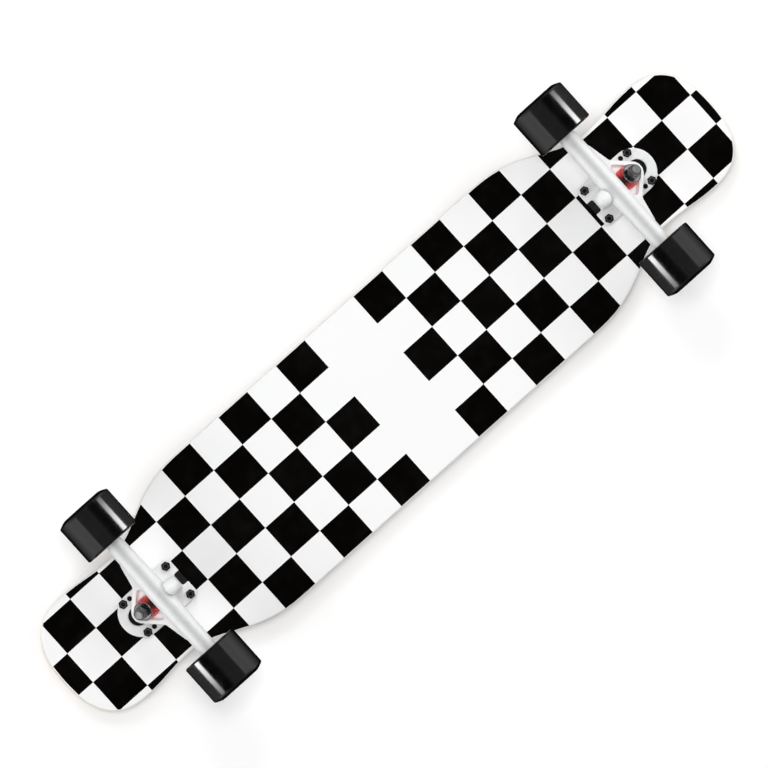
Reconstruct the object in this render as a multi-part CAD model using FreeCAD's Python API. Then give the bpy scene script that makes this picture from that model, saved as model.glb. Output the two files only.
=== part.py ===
import FreeCAD, Part
import math
import os

# A longboard skateboard standing on its four wheels.
# Millimetres, +X towards the nose, +Z up, origin on the ground below the middle of the deck.
# A truck is drawn once in its own frame: origin at the middle of the axle, +X outwards to the
# nearer end of the deck, +Z up. What the kingpin holds is drawn in a kingpin frame: origin at the
# middle of the hanger's ring, +Z along the kingpin away from the deck, +X towards the pivot.

V = FreeCAD.Vector
ORIGIN = V(0, 0, 0)
ALONG = V(1, 0, 0)
ACROSS = V(0, 1, 0)
UP = V(0, 0, 1)

# Fits
overrun = 4.0          # how far a cutting body passes the face that it cuts
press_gap = 0.03       # pressed, threaded and pushed-on fits
slip_gap = 0.25        # bolts through plates
run_gap = 0.1          # faces that roll or pivot on each other
seat_gap = 0.4         # urethane in its seats

# Deck, laminated from maple plies
wheelbase = 675.0
overhang = 145.0           # axle to the tip of the nose or tail
deck_width = 212.0
neck_width = 137.0         # between the wheel cut-outs
lobe_width = 147.0         # widest place of nose and tail
neck_past_axle = 18.5
shoulder_length = 138.5    # from full width down to the neck
lobe_length = 66.0         # from the neck out to the lobe
shoulder_bias = 1.28       # above one, the shoulder holds its width longer
nose_squareness = 2.5      # exponent of the superellipse at the ends
shoulder_steps = 9
lobe_steps = 4
nose_steps = 8
ply_count = 8
ply_thickness = 1.4
deck_edge_radius = 2.6
wall_share = 0.5           # a face whose normal rises by less than this is the board's side
kick_gap = 9.0             # from the baseplate's end to the start of the kick
kick_radius = 180.0
kick_angle = 9.0
grip_thickness = 0.9
grip_margin = 0.8          # bare rim inside the rounded edge

# Riser pads and mounting hardware
riser_thickness = 3.0
riser_inset = 0.6
bolt_spacing_long = 63.5
bolt_spacing_short = 53.98
bolt_spacing_across = 41.28
bolt_radius = 2.4
bolt_head_radius = 4.7
bolt_tail = 1.5            # thread showing past the nut
cross_slot_length = 5.2
cross_slot_width = 1.1
cross_slot_depth = 1.7
mounting_nut_flats = 9.5
mounting_nut_hex = 4.2
mounting_nut_collar = 1.8
collar_inset = 0.25        # a lock nut's collar is this much inside its flats
collar_wall = 0.9
spare_hole_radius = 3.0

# Truck geometry
inner_bolt_reach = 25.0    # from the axle inwards to the inner bolts
ring_reach = 17.0          # from the axle outwards to the ring's middle
axle_below_ring = 23.5
kingpin_lean = 32.0        # degrees from the vertical
steer_lean = 45.0          # degrees of the steering axis above the ground
pivot_reach = 15.6         # from the axle inwards to the pivot

# Baseplate
flange_thickness = 7.0
flange_inner_margin = 7.8  # past the bolt centres
flange_outer_margin = 17.5
flange_side_margin = 6.2
flange_corner = 6.5
flange_edge = 1.2
notch_width = 15.8
notch_depth = 7.8
notch_corner = 1.5
window_radius = 11.0
window_inset = 4.0         # window's middle, inside the outer bolts
boss_rim = 1.5             # boss round the board-side washer
boss_wall = 8.5            # metal between the kingpin's head and the washer
head_cover = 1.5           # from the kingpin's head to the deck face
tower_wall = 2.2
tower_half = 8.4           # half width of the pillar that carries the pivot
tower_back = 0.6           # pillar's back, inside the round of the pivot seat
tower_foot = 21.0          # length of the pivot tower's foot on the flange
tower_waist = 12.0         # its length halfway to the pivot

# Pivot
pivot_radius = 5.0
pivot_cup_wall = 2.2
pivot_mouth = 2.5          # cup's mouth, past the pivot's middle
pivot_neck = 4.0           # straight part of the hanger's nose
pivot_root_radius = 8.0
pivot_root_reach = 15.0

# Kingpin, bushings and washers
kingpin_radius = 4.7
kingpin_head_flats = 14.3
kingpin_head_height = 6.0
kingpin_tail = 2.0
kingpin_chamfer = 0.8
kingpin_nut_flats = 14.3
kingpin_nut_hex = 7.0
kingpin_nut_collar = 2.6
bushing_radius = 13.0
bushing_bulge = 0.5
bushing_chamfer = 0.8
board_bushing_height = 14.0
road_bushing_height = 15.0
road_bushing_tip_radius = 11.0
board_washer_radius = 13.0
road_washer_radius = 11.0
washer_thickness = 2.0

# Hanger
hanger_half = 93.0         # middle to the shoulder that the bearings stop at
hanger_tip_radius = 8.0
hanger_taper = 21.0        # length of the thinner tip
hanger_end_radius = 10.8
hanger_middle_radius = 12.0
ring_hole_radius = 8.5
ring_board_side = 5.0      # ring's face on the board side, from its middle
ring_road_side = 2.0       # floor of the road-side pocket
ring_seat_depth = 1.5
rim_height = 5.0           # rim round the pocket
pocket_gap = 0.8           # between the road bushing and the pocket's wall
yoke_wall = 5.6
yoke_spread = 50.0         # degrees from the ring's outward axis to a side's normal
yoke_nose_radius = 11.9
pocket_nose_radius = 7.0
pocket_corner = 4.0
pocket_half_width = 22.0
yoke_shoulder = 28.0       # half width where the yoke meets its wings
wing_half = 53.0
wing_back = 11.4
wing_root_half = 80.0
yoke_blend = 8.0
gusset_top = 9.0           # height of the sloping back above the rim, at the axle

# Axle and what is threaded on it
axle_radius = 3.95
axle_tail = 2.0
axle_chamfer = 0.8
axle_nut_flats = 12.7
axle_nut_hex = 5.0
axle_nut_collar = 2.0
speed_ring_thickness = 1.0
spacer_length = 10.0
spacer_wall = 1.5

# Bearings, 8 by 22 by 7
bearing_bore_radius = 4.0
bearing_outer_radius = 11.0
bearing_width = 7.0
bearing_ring_wall = 1.75
groove_depth = 0.3
ball_count = 7
cage_wall = 1.7
cage_rail = 0.5
shield_thickness = 0.5
shield_recess = 0.1
shield_gap = 0.15

# Wheels
wheel_radius = 35.0
wheel_width = 55.0
tread_lip = 5.0            # rounding between tread and side face
face_slope = 3.0           # side face falls back by this from its crown to the tread
crown_inset = 13.0         # widest ring of the side face, inside the tread
crown_round = 3.0
core_radius = 18.0
core_width = 34.0
core_mouth_gap = 0.5       # core's mouth, wider than the bearing
core_stop = 1.6            # lip between the two bearings
core_pocket_count = 10
core_pocket_depth = 2.5
core_pocket_radius = 1.7

# Lengths that follow
axle_x = wheelbase / 2
deck_half_length = axle_x + overhang
deck_thickness = ply_count * ply_thickness
neck_x = axle_x + neck_past_axle
shoulder_x = neck_x - shoulder_length
lobe_x = neck_x + lobe_length
nose_length = deck_half_length - lobe_x

outer_bolt_reach = bolt_spacing_long - inner_bolt_reach
spare_hole_reach = bolt_spacing_short - inner_bolt_reach
flange_inner = inner_bolt_reach + flange_inner_margin
flange_outer = outer_bolt_reach + flange_outer_margin
flange_half = bolt_spacing_across / 2 + flange_side_margin
kick_x = axle_x + flange_outer + kick_gap

board_seat = ring_board_side - ring_seat_depth
board_washer_top = board_seat + board_bushing_height
ramp_level = board_washer_top + washer_thickness
head_seat = ramp_level + boss_wall
head_top = head_seat + kingpin_head_height
road_washer_level = ring_road_side + road_bushing_height
kingpin_nut_level = road_washer_level + washer_thickness
kingpin_tip = kingpin_nut_level + kingpin_nut_hex + kingpin_nut_collar + kingpin_tail
rim_level = ring_road_side + rim_height
pocket_reach = bushing_radius + pocket_gap

lean = math.radians(kingpin_lean)
head_corner = kingpin_head_flats / math.sqrt(3)
ring_drop = head_top * math.cos(lean) + head_corner * math.sin(lean) + head_cover
base_height = axle_below_ring + ring_drop
flange_road = base_height - flange_thickness
deck_bottom = wheel_radius + base_height + riser_thickness
deck_top = deck_bottom + deck_thickness

steer = math.radians(steer_lean)
pivot_height = axle_below_ring - (ring_reach + pivot_reach) * math.tan(steer)
cup_radius = pivot_radius + run_gap + pivot_cup_wall
tower_radius = cup_radius + press_gap + tower_wall

bearing_inner = hanger_half + speed_ring_thickness
wheel_offset = bearing_inner + bearing_width + spacer_length / 2
bearing_middle = (spacer_length + bearing_width) / 2
axle_nut_seat = spacer_length / 2 + bearing_width + speed_ring_thickness
axle_half = wheel_offset + axle_nut_seat + axle_nut_hex + axle_nut_collar + axle_tail
inner_ring_radius = bearing_bore_radius + bearing_ring_wall
outer_ring_radius = bearing_outer_radius - bearing_ring_wall
ball_orbit = (bearing_bore_radius + bearing_outer_radius) / 2
groove_radius = (outer_ring_radius - inner_ring_radius) / 2 + groove_depth
ball_radius = groove_radius - run_gap

# Frames
KINGPIN = FreeCAD.Placement(V(ring_reach, 0, axle_below_ring),
                            FreeCAD.Rotation(ACROSS, 180 - kingpin_lean))
STEERING = FreeCAD.Placement(V(-pivot_reach, 0, pivot_height),
                             FreeCAD.Rotation(ACROSS, 90 - steer_lean))
HALF_TURN = FreeCAD.Placement(ORIGIN, FreeCAD.Rotation(UP, 180))
FRONT = FreeCAD.Placement(V(axle_x, 0, wheel_radius), FreeCAD.Rotation())
REAR = HALF_TURN.multiply(FRONT)
TRUCKS = {"front": FRONT, "rear": REAR}


def placed(shape, placement):
    """A copy of a shape carried into another frame."""
    moved = shape.copy()
    moved.Placement = placement.multiply(moved.Placement)
    return moved


def shifted(shape, x, y, z):
    return placed(shape, FreeCAD.Placement(V(x, y, z), FreeCAD.Rotation()))


def both_sides(shape):
    """A piece of the truck and the same piece at the other end of the axle."""
    return Part.makeCompound([shape, placed(shape, HALF_TURN)])


def rounded_face(corners):
    """A face in the XY plane from corners given as x, y and rounding radius."""
    arcs = []
    for index, (x, y, radius) in enumerate(corners):
        back = corners[index - 1]
        ahead = corners[(index + 1) % len(corners)]
        here = V(x, y, 0)
        to_back = (V(back[0], back[1], 0) - here).normalize()
        to_ahead = (V(ahead[0], ahead[1], 0) - here).normalize()
        half_angle = to_back.getAngle(to_ahead) / 2
        reach = radius / math.tan(half_angle)
        middle = (to_back + to_ahead).normalize()
        crown = here + middle * (radius / math.sin(half_angle) - radius)
        arcs.append((here + to_back * reach, crown, here + to_ahead * reach))
    edges = []
    for index, (start, crown, end) in enumerate(arcs):
        if corners[index][2] > 0:
            edges.append(Part.Arc(start, crown, end).toShape())
        following = arcs[(index + 1) % len(arcs)][0]
        edges.append(Part.LineSegment(end, following).toShape())
    return Part.Face(Part.Wire(edges))


def turned(corners):
    """A solid of revolution about Y from corners given as radius, place along Y and rounding."""
    return rounded_face(corners).revolve(ORIGIN, ACROSS, 360)


def upright(shape):
    """A piece turned about Y, stood up along Z."""
    return placed(shape, FreeCAD.Placement(ORIGIN, FreeCAD.Rotation(ALONG, 90)))


def thimble(radius, height):
    """A cylinder along Z with a hemispherical end about the origin."""
    bottom = V(0, -radius, 0)
    side = V(radius, 0, 0)
    swell = V(radius * math.sin(math.pi / 4), -radius * math.cos(math.pi / 4), 0)
    corners = [side, V(radius, height, 0), V(0, height, 0), bottom]
    edges = [Part.LineSegment(one, two).toShape() for one, two in zip(corners, corners[1:])]
    edges.append(Part.Arc(bottom, swell, side).toShape())
    return upright(Part.Face(Part.Wire(edges)).revolve(ORIGIN, ACROSS, 360))


def sleeve(outer, inner, start, end, edge=0):
    """A ring about Y; edge rounds its outer corners."""
    return turned([(inner, start, 0), (outer, start, edge), (outer, end, edge), (inner, end, 0)])


def drill(radius, x, y, low, high):
    """A vertical cutter that passes both levels."""
    return Part.makeCylinder(radius, high - low + 2 * overrun, V(x, y, low - overrun), UP)


def hexagon(flats, height):
    """A hexagonal prism on the XY plane."""
    corner = flats / math.sqrt(3)
    points = [V(corner * math.cos(turn * math.pi / 3), corner * math.sin(turn * math.pi / 3), 0)
              for turn in range(7)]
    return Part.Face(Part.makePolygon(points)).extrude(V(0, 0, height))


def lock_nut(flats, hex_height, collar_height, thread_radius):
    """A hexagon lock nut standing on the XY plane, and the nylon ring in its collar."""
    corner = flats / math.sqrt(3)
    bevel = (corner - flats / 2) / 2
    collar = flats / 2 - collar_inset
    bore = thread_radius + press_gap
    top = hex_height + collar_height
    blank = hexagon(flats, hex_height)
    round_off = turned([(0, 0, 0), (corner - bevel, 0, 0), (corner, bevel, 0),
                        (corner, hex_height - bevel, 0), (corner - bevel, hex_height, 0),
                        (0, hex_height, 0)])
    body = blank.common(upright(round_off))
    crown = upright(turned([(collar, hex_height, 0), (collar, top, collar_wall / 2),
                            (collar - collar_wall, top, 0), (collar - collar_wall, hex_height, 0)]))
    bore_cutter = Part.makeCylinder(bore, hex_height + 2 * overrun, V(0, 0, -overrun), UP)
    nut = body.cut(bore_cutter).fuse(crown).removeSplitter()
    insert_radius = collar - collar_wall - press_gap
    insert = upright(sleeve(insert_radius, bore, hex_height, top - collar_wall / 2))
    return nut, insert


def outline_points():
    """One end of the deck's outline, from the left shoulder round the tip to the right shoulder.

    The shoulder and the lobe are cosine eases, and the end is a superellipse.
    """
    points = []
    for step in range(shoulder_steps):
        share = step / shoulder_steps
        ease = (1 + math.cos(math.pi * share ** shoulder_bias)) / 2
        width = neck_width + ease * (deck_width - neck_width)
        points.append(V(shoulder_x + share * shoulder_length, width / 2, 0))
    for step in range(lobe_steps):
        share = step / lobe_steps
        ease = (1 - math.cos(math.pi * share)) / 2
        width = neck_width + ease * (lobe_width - neck_width)
        points.append(V(neck_x + share * lobe_length, width / 2, 0))
    for step in range(nose_steps):
        angle = math.pi / 2 * step / nose_steps
        reach = math.sin(angle) ** (2 / nose_squareness)
        spread = math.cos(angle) ** (2 / nose_squareness)
        points.append(V(lobe_x + nose_length * reach, lobe_width / 2 * spread, 0))
    tip = V(deck_half_length, 0, 0)
    return points + [tip] + [V(point.x, -point.y, 0) for point in reversed(points)]


def outline_curve(points):
    curve = Part.BSplineCurve()
    curve.interpolate(Points=points, InitialTangent=ALONG, FinalTangent=ALONG * -1, Scale=False)
    return curve


def outline_face(inset):
    """The deck's outline as a face, drawn in by an inset."""
    points = outline_points()
    curve = outline_curve(points)
    moved = []
    for point in points:
        run = curve.tangent(curve.parameter(point))[0]
        moved.append(point + V(run.y, -run.x, 0) * inset)
    nose = outline_curve(moved).toShape()
    half_width = deck_width / 2 - inset
    flank = Part.LineSegment(V(-shoulder_x, half_width, 0), V(shoulder_x, half_width, 0)).toShape()
    edges = [flank, nose, placed(flank, HALF_TURN), placed(nose, HALF_TURN)]
    return Part.Face(Part.Wire(Part.__sortEdges__(edges)))


def kick_line(level):
    """Points along a layer at one kick: start and middle and end of its bend, then past the tip."""
    angle = math.radians(kick_angle)
    radius = kick_radius - level
    centre = V(kick_x, 0, deck_bottom + kick_radius)
    bend = [centre + V(radius * math.sin(turn), 0, -radius * math.cos(turn))
            for turn in (0, angle / 2, angle)]
    tip = bend[2] + V(math.cos(angle), 0, math.sin(angle)) * (overhang - flange_outer)
    return bend + [tip]


def deck_layer(low, high, inset):
    """A layer of the deck between two levels above its underside, with both ends kicked up."""
    edges = []
    tips = []
    for level in (low, high):
        right = kick_line(level)
        left = [V(-point.x, 0, point.z) for point in right]
        edges.append(Part.LineSegment(left[0], right[0]).toShape())
        for bend in (left, right):
            edges.append(Part.Arc(bend[0], bend[1], bend[2]).toShape())
            edges.append(Part.LineSegment(bend[2], bend[3]).toShape())
        tips.append((left[3], right[3]))
    for lower, upper in zip(tips[0], tips[1]):
        edges.append(Part.LineSegment(lower, upper).toShape())
    side = Part.Face(Part.Wire(Part.__sortEdges__(edges)))
    half_width = deck_width / 2 + overrun
    slab = side.extrude(V(0, 2 * half_width, 0))
    slab = shifted(slab, 0, -half_width, 0)
    height = deck_half_length - kick_x + kick_radius
    outline = outline_face(inset).extrude(V(0, 0, height))
    return slab.common(shifted(outline, 0, 0, deck_bottom - overrun))


def bolt_places():
    """The four bolts of a truck, in the truck's plan."""
    half = bolt_spacing_across / 2
    return [(x, y) for x in (-inner_bolt_reach, outer_bolt_reach) for y in (half, -half)]


def deck_bolt_places():
    """All the bolts in the deck's plan."""
    return [(end * (axle_x + x), y) for end in (1, -1) for x, y in bolt_places()]


def make_deck():
    """The board, with every edge between a broad face and the side rounded."""
    board = deck_layer(0, deck_thickness, 0)
    rims = []
    for edge in board.Edges:
        faces = board.ancestorsOfType(edge, Part.Face)
        rises = [abs(face.normalAt(*face.Surface.parameter(edge.CenterOfMass)).z) for face in faces]
        if min(rises) < wall_share < max(rises):
            rims.append(edge)
    board = board.makeFillet(deck_edge_radius, rims)
    cutters = []
    sink = bolt_head_radius - bolt_radius
    for x, y in deck_bolt_places():
        cutters.append(drill(bolt_radius + slip_gap, x, y, deck_bottom, deck_top))
        cutters.append(Part.makeCone(bolt_radius + slip_gap, bolt_head_radius + slip_gap, sink,
                                     V(x, y, deck_top - sink), UP))
    return board.cut(cutters)


def make_grip_tape():
    tape = deck_layer(deck_thickness, deck_thickness + grip_thickness, deck_edge_radius + grip_margin)
    cutters = [drill(bolt_head_radius + slip_gap, x, y, deck_top, deck_top + grip_thickness)
               for x, y in deck_bolt_places()]
    return tape.cut(cutters)


def flange_corners(inset):
    """The baseplate's plan without its notch: square at the inner end, all but half round at the outer."""
    half = flange_half - inset
    inner = -flange_inner + inset
    outer = flange_outer - inset
    end_radius = half - flange_edge / 2
    return [(inner, -half, flange_corner), (outer, -half, end_radius),
            (outer, half, end_radius), (inner, half, flange_corner)]


def make_riser_pad():
    pad = rounded_face(flange_corners(riser_inset)).extrude(V(0, 0, riser_thickness))
    pad = shifted(pad, 0, 0, base_height)
    holes = [drill(bolt_radius + slip_gap, x, y, base_height, base_height + riser_thickness)
             for x, y in bolt_places()]
    return pad.cut(holes)


def make_pillar():
    """The pillar that carries the pivot seat, from its side view."""
    back = -pivot_reach - tower_radius + tower_back
    mouth = STEERING.multVec(V(-tower_half, 0, pivot_mouth - tower_back))
    waist_height = (flange_road + mouth.z) / 2
    side = Part.makePolygon([
        V(back, 0, base_height), V(back, 0, pivot_height), V(-pivot_reach, 0, pivot_height), mouth,
        V(back + tower_waist, 0, waist_height), V(back + tower_foot, 0, flange_road),
        V(back + tower_foot, 0, base_height), V(back, 0, base_height)])
    return shifted(Part.Face(side).extrude(V(0, 2 * tower_half, 0)), 0, -tower_half, 0)


def make_notch():
    """The cutter for the notch in the baseplate's inner end."""
    half = notch_width / 2
    start = -flange_inner - overrun
    end = -flange_inner + notch_depth
    plan = rounded_face([(start, -half, 0), (end, -half, notch_corner), (end, half, notch_corner),
                         (start, half, 0)])
    return shifted(plan.extrude(V(0, 0, flange_thickness + 2 * overrun)), 0, 0, flange_road - overrun)


def make_kingpin_seat():
    """The cutter for the kingpin's shank and for its head, which is let in from the deck side."""
    shank = Part.makeCylinder(kingpin_radius + press_gap, head_seat, V(0, 0, -head_seat), UP)
    depth = kingpin_head_height + base_height
    recess = shifted(hexagon(kingpin_head_flats + 2 * slip_gap, depth), 0, 0, -head_seat - depth)
    return placed(shank.fuse(recess), KINGPIN)


def make_baseplate():
    flange = rounded_face(flange_corners(0)).extrude(V(0, 0, flange_thickness))
    flange = shifted(flange, 0, 0, flange_road)
    road_edges = [edge for edge in flange.Edges if edge.BoundBox.ZMax < flange_road + flange_edge]
    flange = flange.makeFillet(flange_edge, road_edges)
    boss_radius = board_washer_radius + boss_rim
    boss = Part.makeCylinder(boss_radius, head_top + base_height, V(0, 0, -ramp_level), UP * -1)
    tower = thimble(tower_radius, pivot_mouth)
    body = flange.fuse([placed(boss, KINGPIN), placed(tower, STEERING), make_pillar()])
    room = flange_inner + flange_outer
    above = Part.makeBox(2 * room, 2 * room, room, V(-room, -room, base_height))
    window = drill(window_radius, outer_bolt_reach - window_inset, 0, flange_road, base_height)
    holes = [drill(bolt_radius + slip_gap, x, y, flange_road, base_height) for x, y in bolt_places()]
    spares = [drill(spare_hole_radius, spare_hole_reach, y, flange_road, base_height)
              for y in (bolt_spacing_across / 2, -bolt_spacing_across / 2)]
    cup_bore = placed(thimble(cup_radius + press_gap, pivot_mouth + overrun), STEERING)
    cutters = [above, make_notch(), window, make_kingpin_seat(), cup_bore] + holes + spares
    return body.cut(cutters).removeSplitter()


def make_pivot_cup():
    cup = thimble(cup_radius, pivot_mouth).cut(thimble(pivot_radius + run_gap, pivot_mouth + overrun))
    return placed(cup, STEERING)


def make_kingpin():
    head = shifted(hexagon(kingpin_head_flats, kingpin_head_height), 0, 0, -head_top)
    pin = upright(turned([(0, -head_top, 0), (kingpin_radius, -head_top, 0),
                          (kingpin_radius, kingpin_tip - kingpin_chamfer, 0),
                          (kingpin_radius - kingpin_chamfer, kingpin_tip, 0), (0, kingpin_tip, 0)]))
    return placed(head.fuse(pin).removeSplitter(), KINGPIN)


def make_kingpin_nut():
    nut, insert = lock_nut(kingpin_nut_flats, kingpin_nut_hex, kingpin_nut_collar, kingpin_radius)
    return [placed(shifted(piece, 0, 0, kingpin_nut_level), KINGPIN) for piece in (nut, insert)]


def make_bushing(start, height, end_radius):
    """A urethane bushing on the kingpin: a barrel or cone whose side bulges a little."""
    bore = kingpin_radius + seat_gap
    end = start + height
    low = V(bushing_radius, start + bushing_chamfer, 0)
    high = V(end_radius, end - bushing_chamfer, 0)
    belly = V((bushing_radius + end_radius) / 2 + bushing_bulge, (start + end) / 2, 0)
    corners = [high, V(end_radius - bushing_chamfer, end, 0), V(bore, end, 0), V(bore, start, 0),
               V(bushing_radius - bushing_chamfer, start, 0), low]
    edges = [Part.LineSegment(one, two).toShape() for one, two in zip(corners, corners[1:])]
    edges.append(Part.Arc(low, belly, high).toShape())
    solid = Part.Face(Part.Wire(edges)).revolve(ORIGIN, ACROSS, 360)
    return placed(upright(solid), KINGPIN)


def make_washer(radius, start):
    bore = kingpin_radius + slip_gap
    disc = sleeve(radius, bore, start, start + washer_thickness, washer_thickness / 4)
    return placed(upright(disc), KINGPIN)


def make_yoke():
    """The hanger's triangular plate with its sloping back, in the kingpin frame.

    A side view, carried across, is trimmed to the plan.
    """
    spread = math.radians(yoke_spread)
    axle = KINGPIN.inverse().multVec(ORIGIN)
    outer_side = pocket_reach + yoke_wall
    apex = outer_side / math.cos(spread)
    shoulder_back = (yoke_shoulder * math.sin(spread) - outer_side) / math.cos(spread)
    plan = rounded_face([
        (-apex, 0, yoke_nose_radius), (shoulder_back, -yoke_shoulder, yoke_blend),
        (wing_back, -wing_half, 0), (axle.x, -wing_root_half, 0), (axle.x, wing_root_half, 0),
        (wing_back, wing_half, 0), (shoulder_back, yoke_shoulder, yoke_blend)])
    column = plan.extrude(V(0, 0, head_top + axle.z))
    column = shifted(column, 0, 0, -head_top)
    side = rounded_face([
        (-apex, -ring_board_side, 0), (bushing_radius + yoke_wall, -ring_board_side, yoke_blend),
        (axle.x, axle.z - hanger_end_radius, 0), (axle.x, rim_level + gusset_top, 0),
        (shoulder_back, rim_level, yoke_blend), (-apex, rim_level, 0)])
    side = upright(side.extrude(V(0, 0, 2 * wing_root_half)))
    return shifted(side, 0, wing_root_half, 0).common(column)


def make_pocket():
    """The cutter for the pocket round the road-side bushing, in the kingpin frame."""
    spread = math.radians(yoke_spread)
    nose = pocket_reach / math.cos(spread)
    base = (pocket_half_width * math.sin(spread) - pocket_reach) / math.cos(spread)
    back_half = pocket_half_width - pocket_corner
    plan = rounded_face([
        (-nose, 0, pocket_nose_radius), (base, -pocket_half_width, pocket_corner),
        (pocket_reach, -back_half, pocket_corner), (pocket_reach, back_half, pocket_corner),
        (base, pocket_half_width, pocket_corner)])
    return shifted(plan.extrude(V(0, 0, rim_height + gusset_top + overrun)), 0, 0, ring_road_side)


def make_hanger():
    hole = drill(ring_hole_radius, 0, 0, -ring_board_side, rim_level)
    seat = Part.makeCylinder(bushing_radius + seat_gap, ring_seat_depth + overrun,
                             V(0, 0, -board_seat), UP * -1)
    taper_start = hanger_half - hanger_taper
    tube = turned([(0, -hanger_half, 0), (hanger_tip_radius, -hanger_half, 0),
                   (hanger_end_radius, -taper_start, 0), (hanger_middle_radius, 0, 0),
                   (hanger_end_radius, taper_start, 0), (hanger_tip_radius, hanger_half, 0),
                   (0, hanger_half, 0)])
    nose = thimble(pivot_radius, pivot_neck)
    root = Part.makeCone(pivot_radius, pivot_root_radius, pivot_root_reach - pivot_neck,
                         V(0, 0, pivot_neck), UP)
    body = tube.fuse([placed(make_yoke(), KINGPIN), placed(nose.fuse(root), STEERING)])
    bore = Part.makeCylinder(axle_radius + press_gap, 2 * axle_half, V(0, -axle_half, 0), ACROSS)
    cutters = [placed(cutter, KINGPIN) for cutter in (make_pocket(), hole, seat)]
    return body.cut(cutters + [bore]).removeSplitter()


def make_axle():
    tip = axle_radius - axle_chamfer
    return turned([(0, -axle_half, 0), (tip, -axle_half, 0), (axle_radius, -axle_half + axle_chamfer, 0),
                   (axle_radius, axle_half - axle_chamfer, 0), (tip, axle_half, 0), (0, axle_half, 0)])


def make_axle_nuts():
    pieces = lock_nut(axle_nut_flats, axle_nut_hex, axle_nut_collar, axle_radius)
    stand = FreeCAD.Placement(V(0, wheel_offset + axle_nut_seat, 0), FreeCAD.Rotation(ALONG, -90))
    return [both_sides(placed(piece, stand)) for piece in pieces]


def make_speed_rings():
    inner = sleeve(inner_ring_radius, axle_radius + press_gap, hanger_half, bearing_inner)
    seat = wheel_offset + axle_nut_seat
    outer = sleeve(inner_ring_radius, axle_radius + press_gap, seat - speed_ring_thickness, seat)
    return both_sides(Part.makeCompound([inner, outer]))


def make_bearing_spacers():
    half = spacer_length / 2
    bore = axle_radius + press_gap
    return both_sides(sleeve(bore + spacer_wall, bore, wheel_offset - half, wheel_offset + half))


def race():
    """The ring-shaped groove that a bearing's balls roll in, about Y."""
    return Part.makeTorus(ball_orbit, groove_radius, ORIGIN, ACROSS)


def bearing_pair(piece):
    """A bearing piece at both bearings of a wheel, in the wheel's frame."""
    return Part.makeCompound([shifted(piece, 0, place, 0) for place in (-bearing_middle, bearing_middle)])


def make_inner_rings():
    half = bearing_width / 2
    ring = sleeve(inner_ring_radius, bearing_bore_radius, -half, half).cut(race())
    return both_sides(shifted(bearing_pair(ring), 0, wheel_offset, 0))


def make_outer_rings():
    half = bearing_width / 2
    return bearing_pair(sleeve(bearing_outer_radius, outer_ring_radius, -half, half).cut(race()))


def make_shields():
    face = bearing_width / 2 - shield_recess
    rim = outer_ring_radius - press_gap
    shield = sleeve(rim, inner_ring_radius + shield_gap, face - shield_thickness, face)
    return bearing_pair(Part.makeCompound([shield, placed(shield, HALF_TURN)]))


def orbit(shape):
    """Copies of a piece, one at each ball."""
    copies = []
    for turn in range(ball_count):
        spin = FreeCAD.Placement(ORIGIN, FreeCAD.Rotation(ACROSS, 360 * turn / ball_count))
        copies.append(placed(shifted(shape, ball_orbit, 0, 0), spin))
    return copies


def make_balls():
    return bearing_pair(Part.makeCompound(orbit(Part.makeSphere(ball_radius))))


def make_cages():
    half = ball_radius + run_gap + cage_rail
    ring = sleeve(ball_orbit + cage_wall / 2, ball_orbit - cage_wall / 2, -half, half)
    pocket = Part.makeCylinder(ball_radius + run_gap, 2 * cage_wall, V(-cage_wall, 0, 0), ALONG)
    return bearing_pair(ring.cut(orbit(pocket)))


def make_tyre():
    half = wheel_width / 2
    core_half = core_width / 2
    bond = core_radius + press_gap
    crown = wheel_radius - crown_inset
    tread_half = half - face_slope
    return turned([(bond, -core_half, 0), (crown, -half, crown_round),
                   (wheel_radius, -tread_half, tread_lip), (wheel_radius, tread_half, tread_lip),
                   (crown, half, crown_round), (bond, core_half, 0)])


def make_core():
    half = core_width / 2
    seat = bearing_outer_radius + press_gap
    mouth = seat + core_mouth_gap
    stop = bearing_outer_radius - core_stop
    shelf = spacer_length / 2
    seat_end = shelf + bearing_width
    body = turned([(stop, -shelf, 0), (seat, -shelf, 0), (seat, -seat_end, 0), (mouth, -seat_end, 0),
                   (mouth, -half, 0), (core_radius, -half, 0), (core_radius, half, 0), (mouth, half, 0),
                   (mouth, seat_end, 0), (seat, seat_end, 0), (seat, shelf, 0), (stop, shelf, 0)])
    pockets = []
    place = (mouth + core_radius) / 2
    for turn in range(core_pocket_count):
        spin = FreeCAD.Placement(ORIGIN, FreeCAD.Rotation(ACROSS, 360 * turn / core_pocket_count))
        for face in (1, -1):
            pocket = Part.makeCylinder(core_pocket_radius, core_pocket_depth + overrun,
                                       V(place, face * (half - core_pocket_depth), 0), ACROSS * face)
            pockets.append(placed(pocket, spin))
    return body.cut(pockets)


def make_mounting_hardware():
    """Bolts, nuts and nylon rings of one truck, in the truck's frame."""
    top = base_height + riser_thickness + deck_thickness
    nut_height = mounting_nut_hex + mounting_nut_collar
    bottom = flange_road - nut_height - bolt_tail
    sink = bolt_head_radius - bolt_radius
    shank = Part.makeCylinder(bolt_radius, top - bottom, V(0, 0, bottom), UP)
    head = Part.makeCone(bolt_radius, bolt_head_radius, sink, V(0, 0, top - sink), UP)
    slots = []
    for length, width in ((cross_slot_length, cross_slot_width), (cross_slot_width, cross_slot_length)):
        corner = V(-length / 2, -width / 2, top - cross_slot_depth)
        slots.append(Part.makeBox(length, width, cross_slot_depth + overrun, corner))
    bolt = shank.fuse(head).removeSplitter().cut(slots)
    hang = FreeCAD.Placement(V(0, 0, flange_road), FreeCAD.Rotation(ALONG, 180))
    nut, insert = lock_nut(mounting_nut_flats, mounting_nut_hex, mounting_nut_collar, bolt_radius)
    pieces = [bolt, placed(nut, hang), placed(insert, hang)]
    return [[shifted(piece, x, y, 0) for x, y in bolt_places()] for piece in pieces]


nodes = {"deck": make_deck(), "grip_tape": make_grip_tape()}

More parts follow.
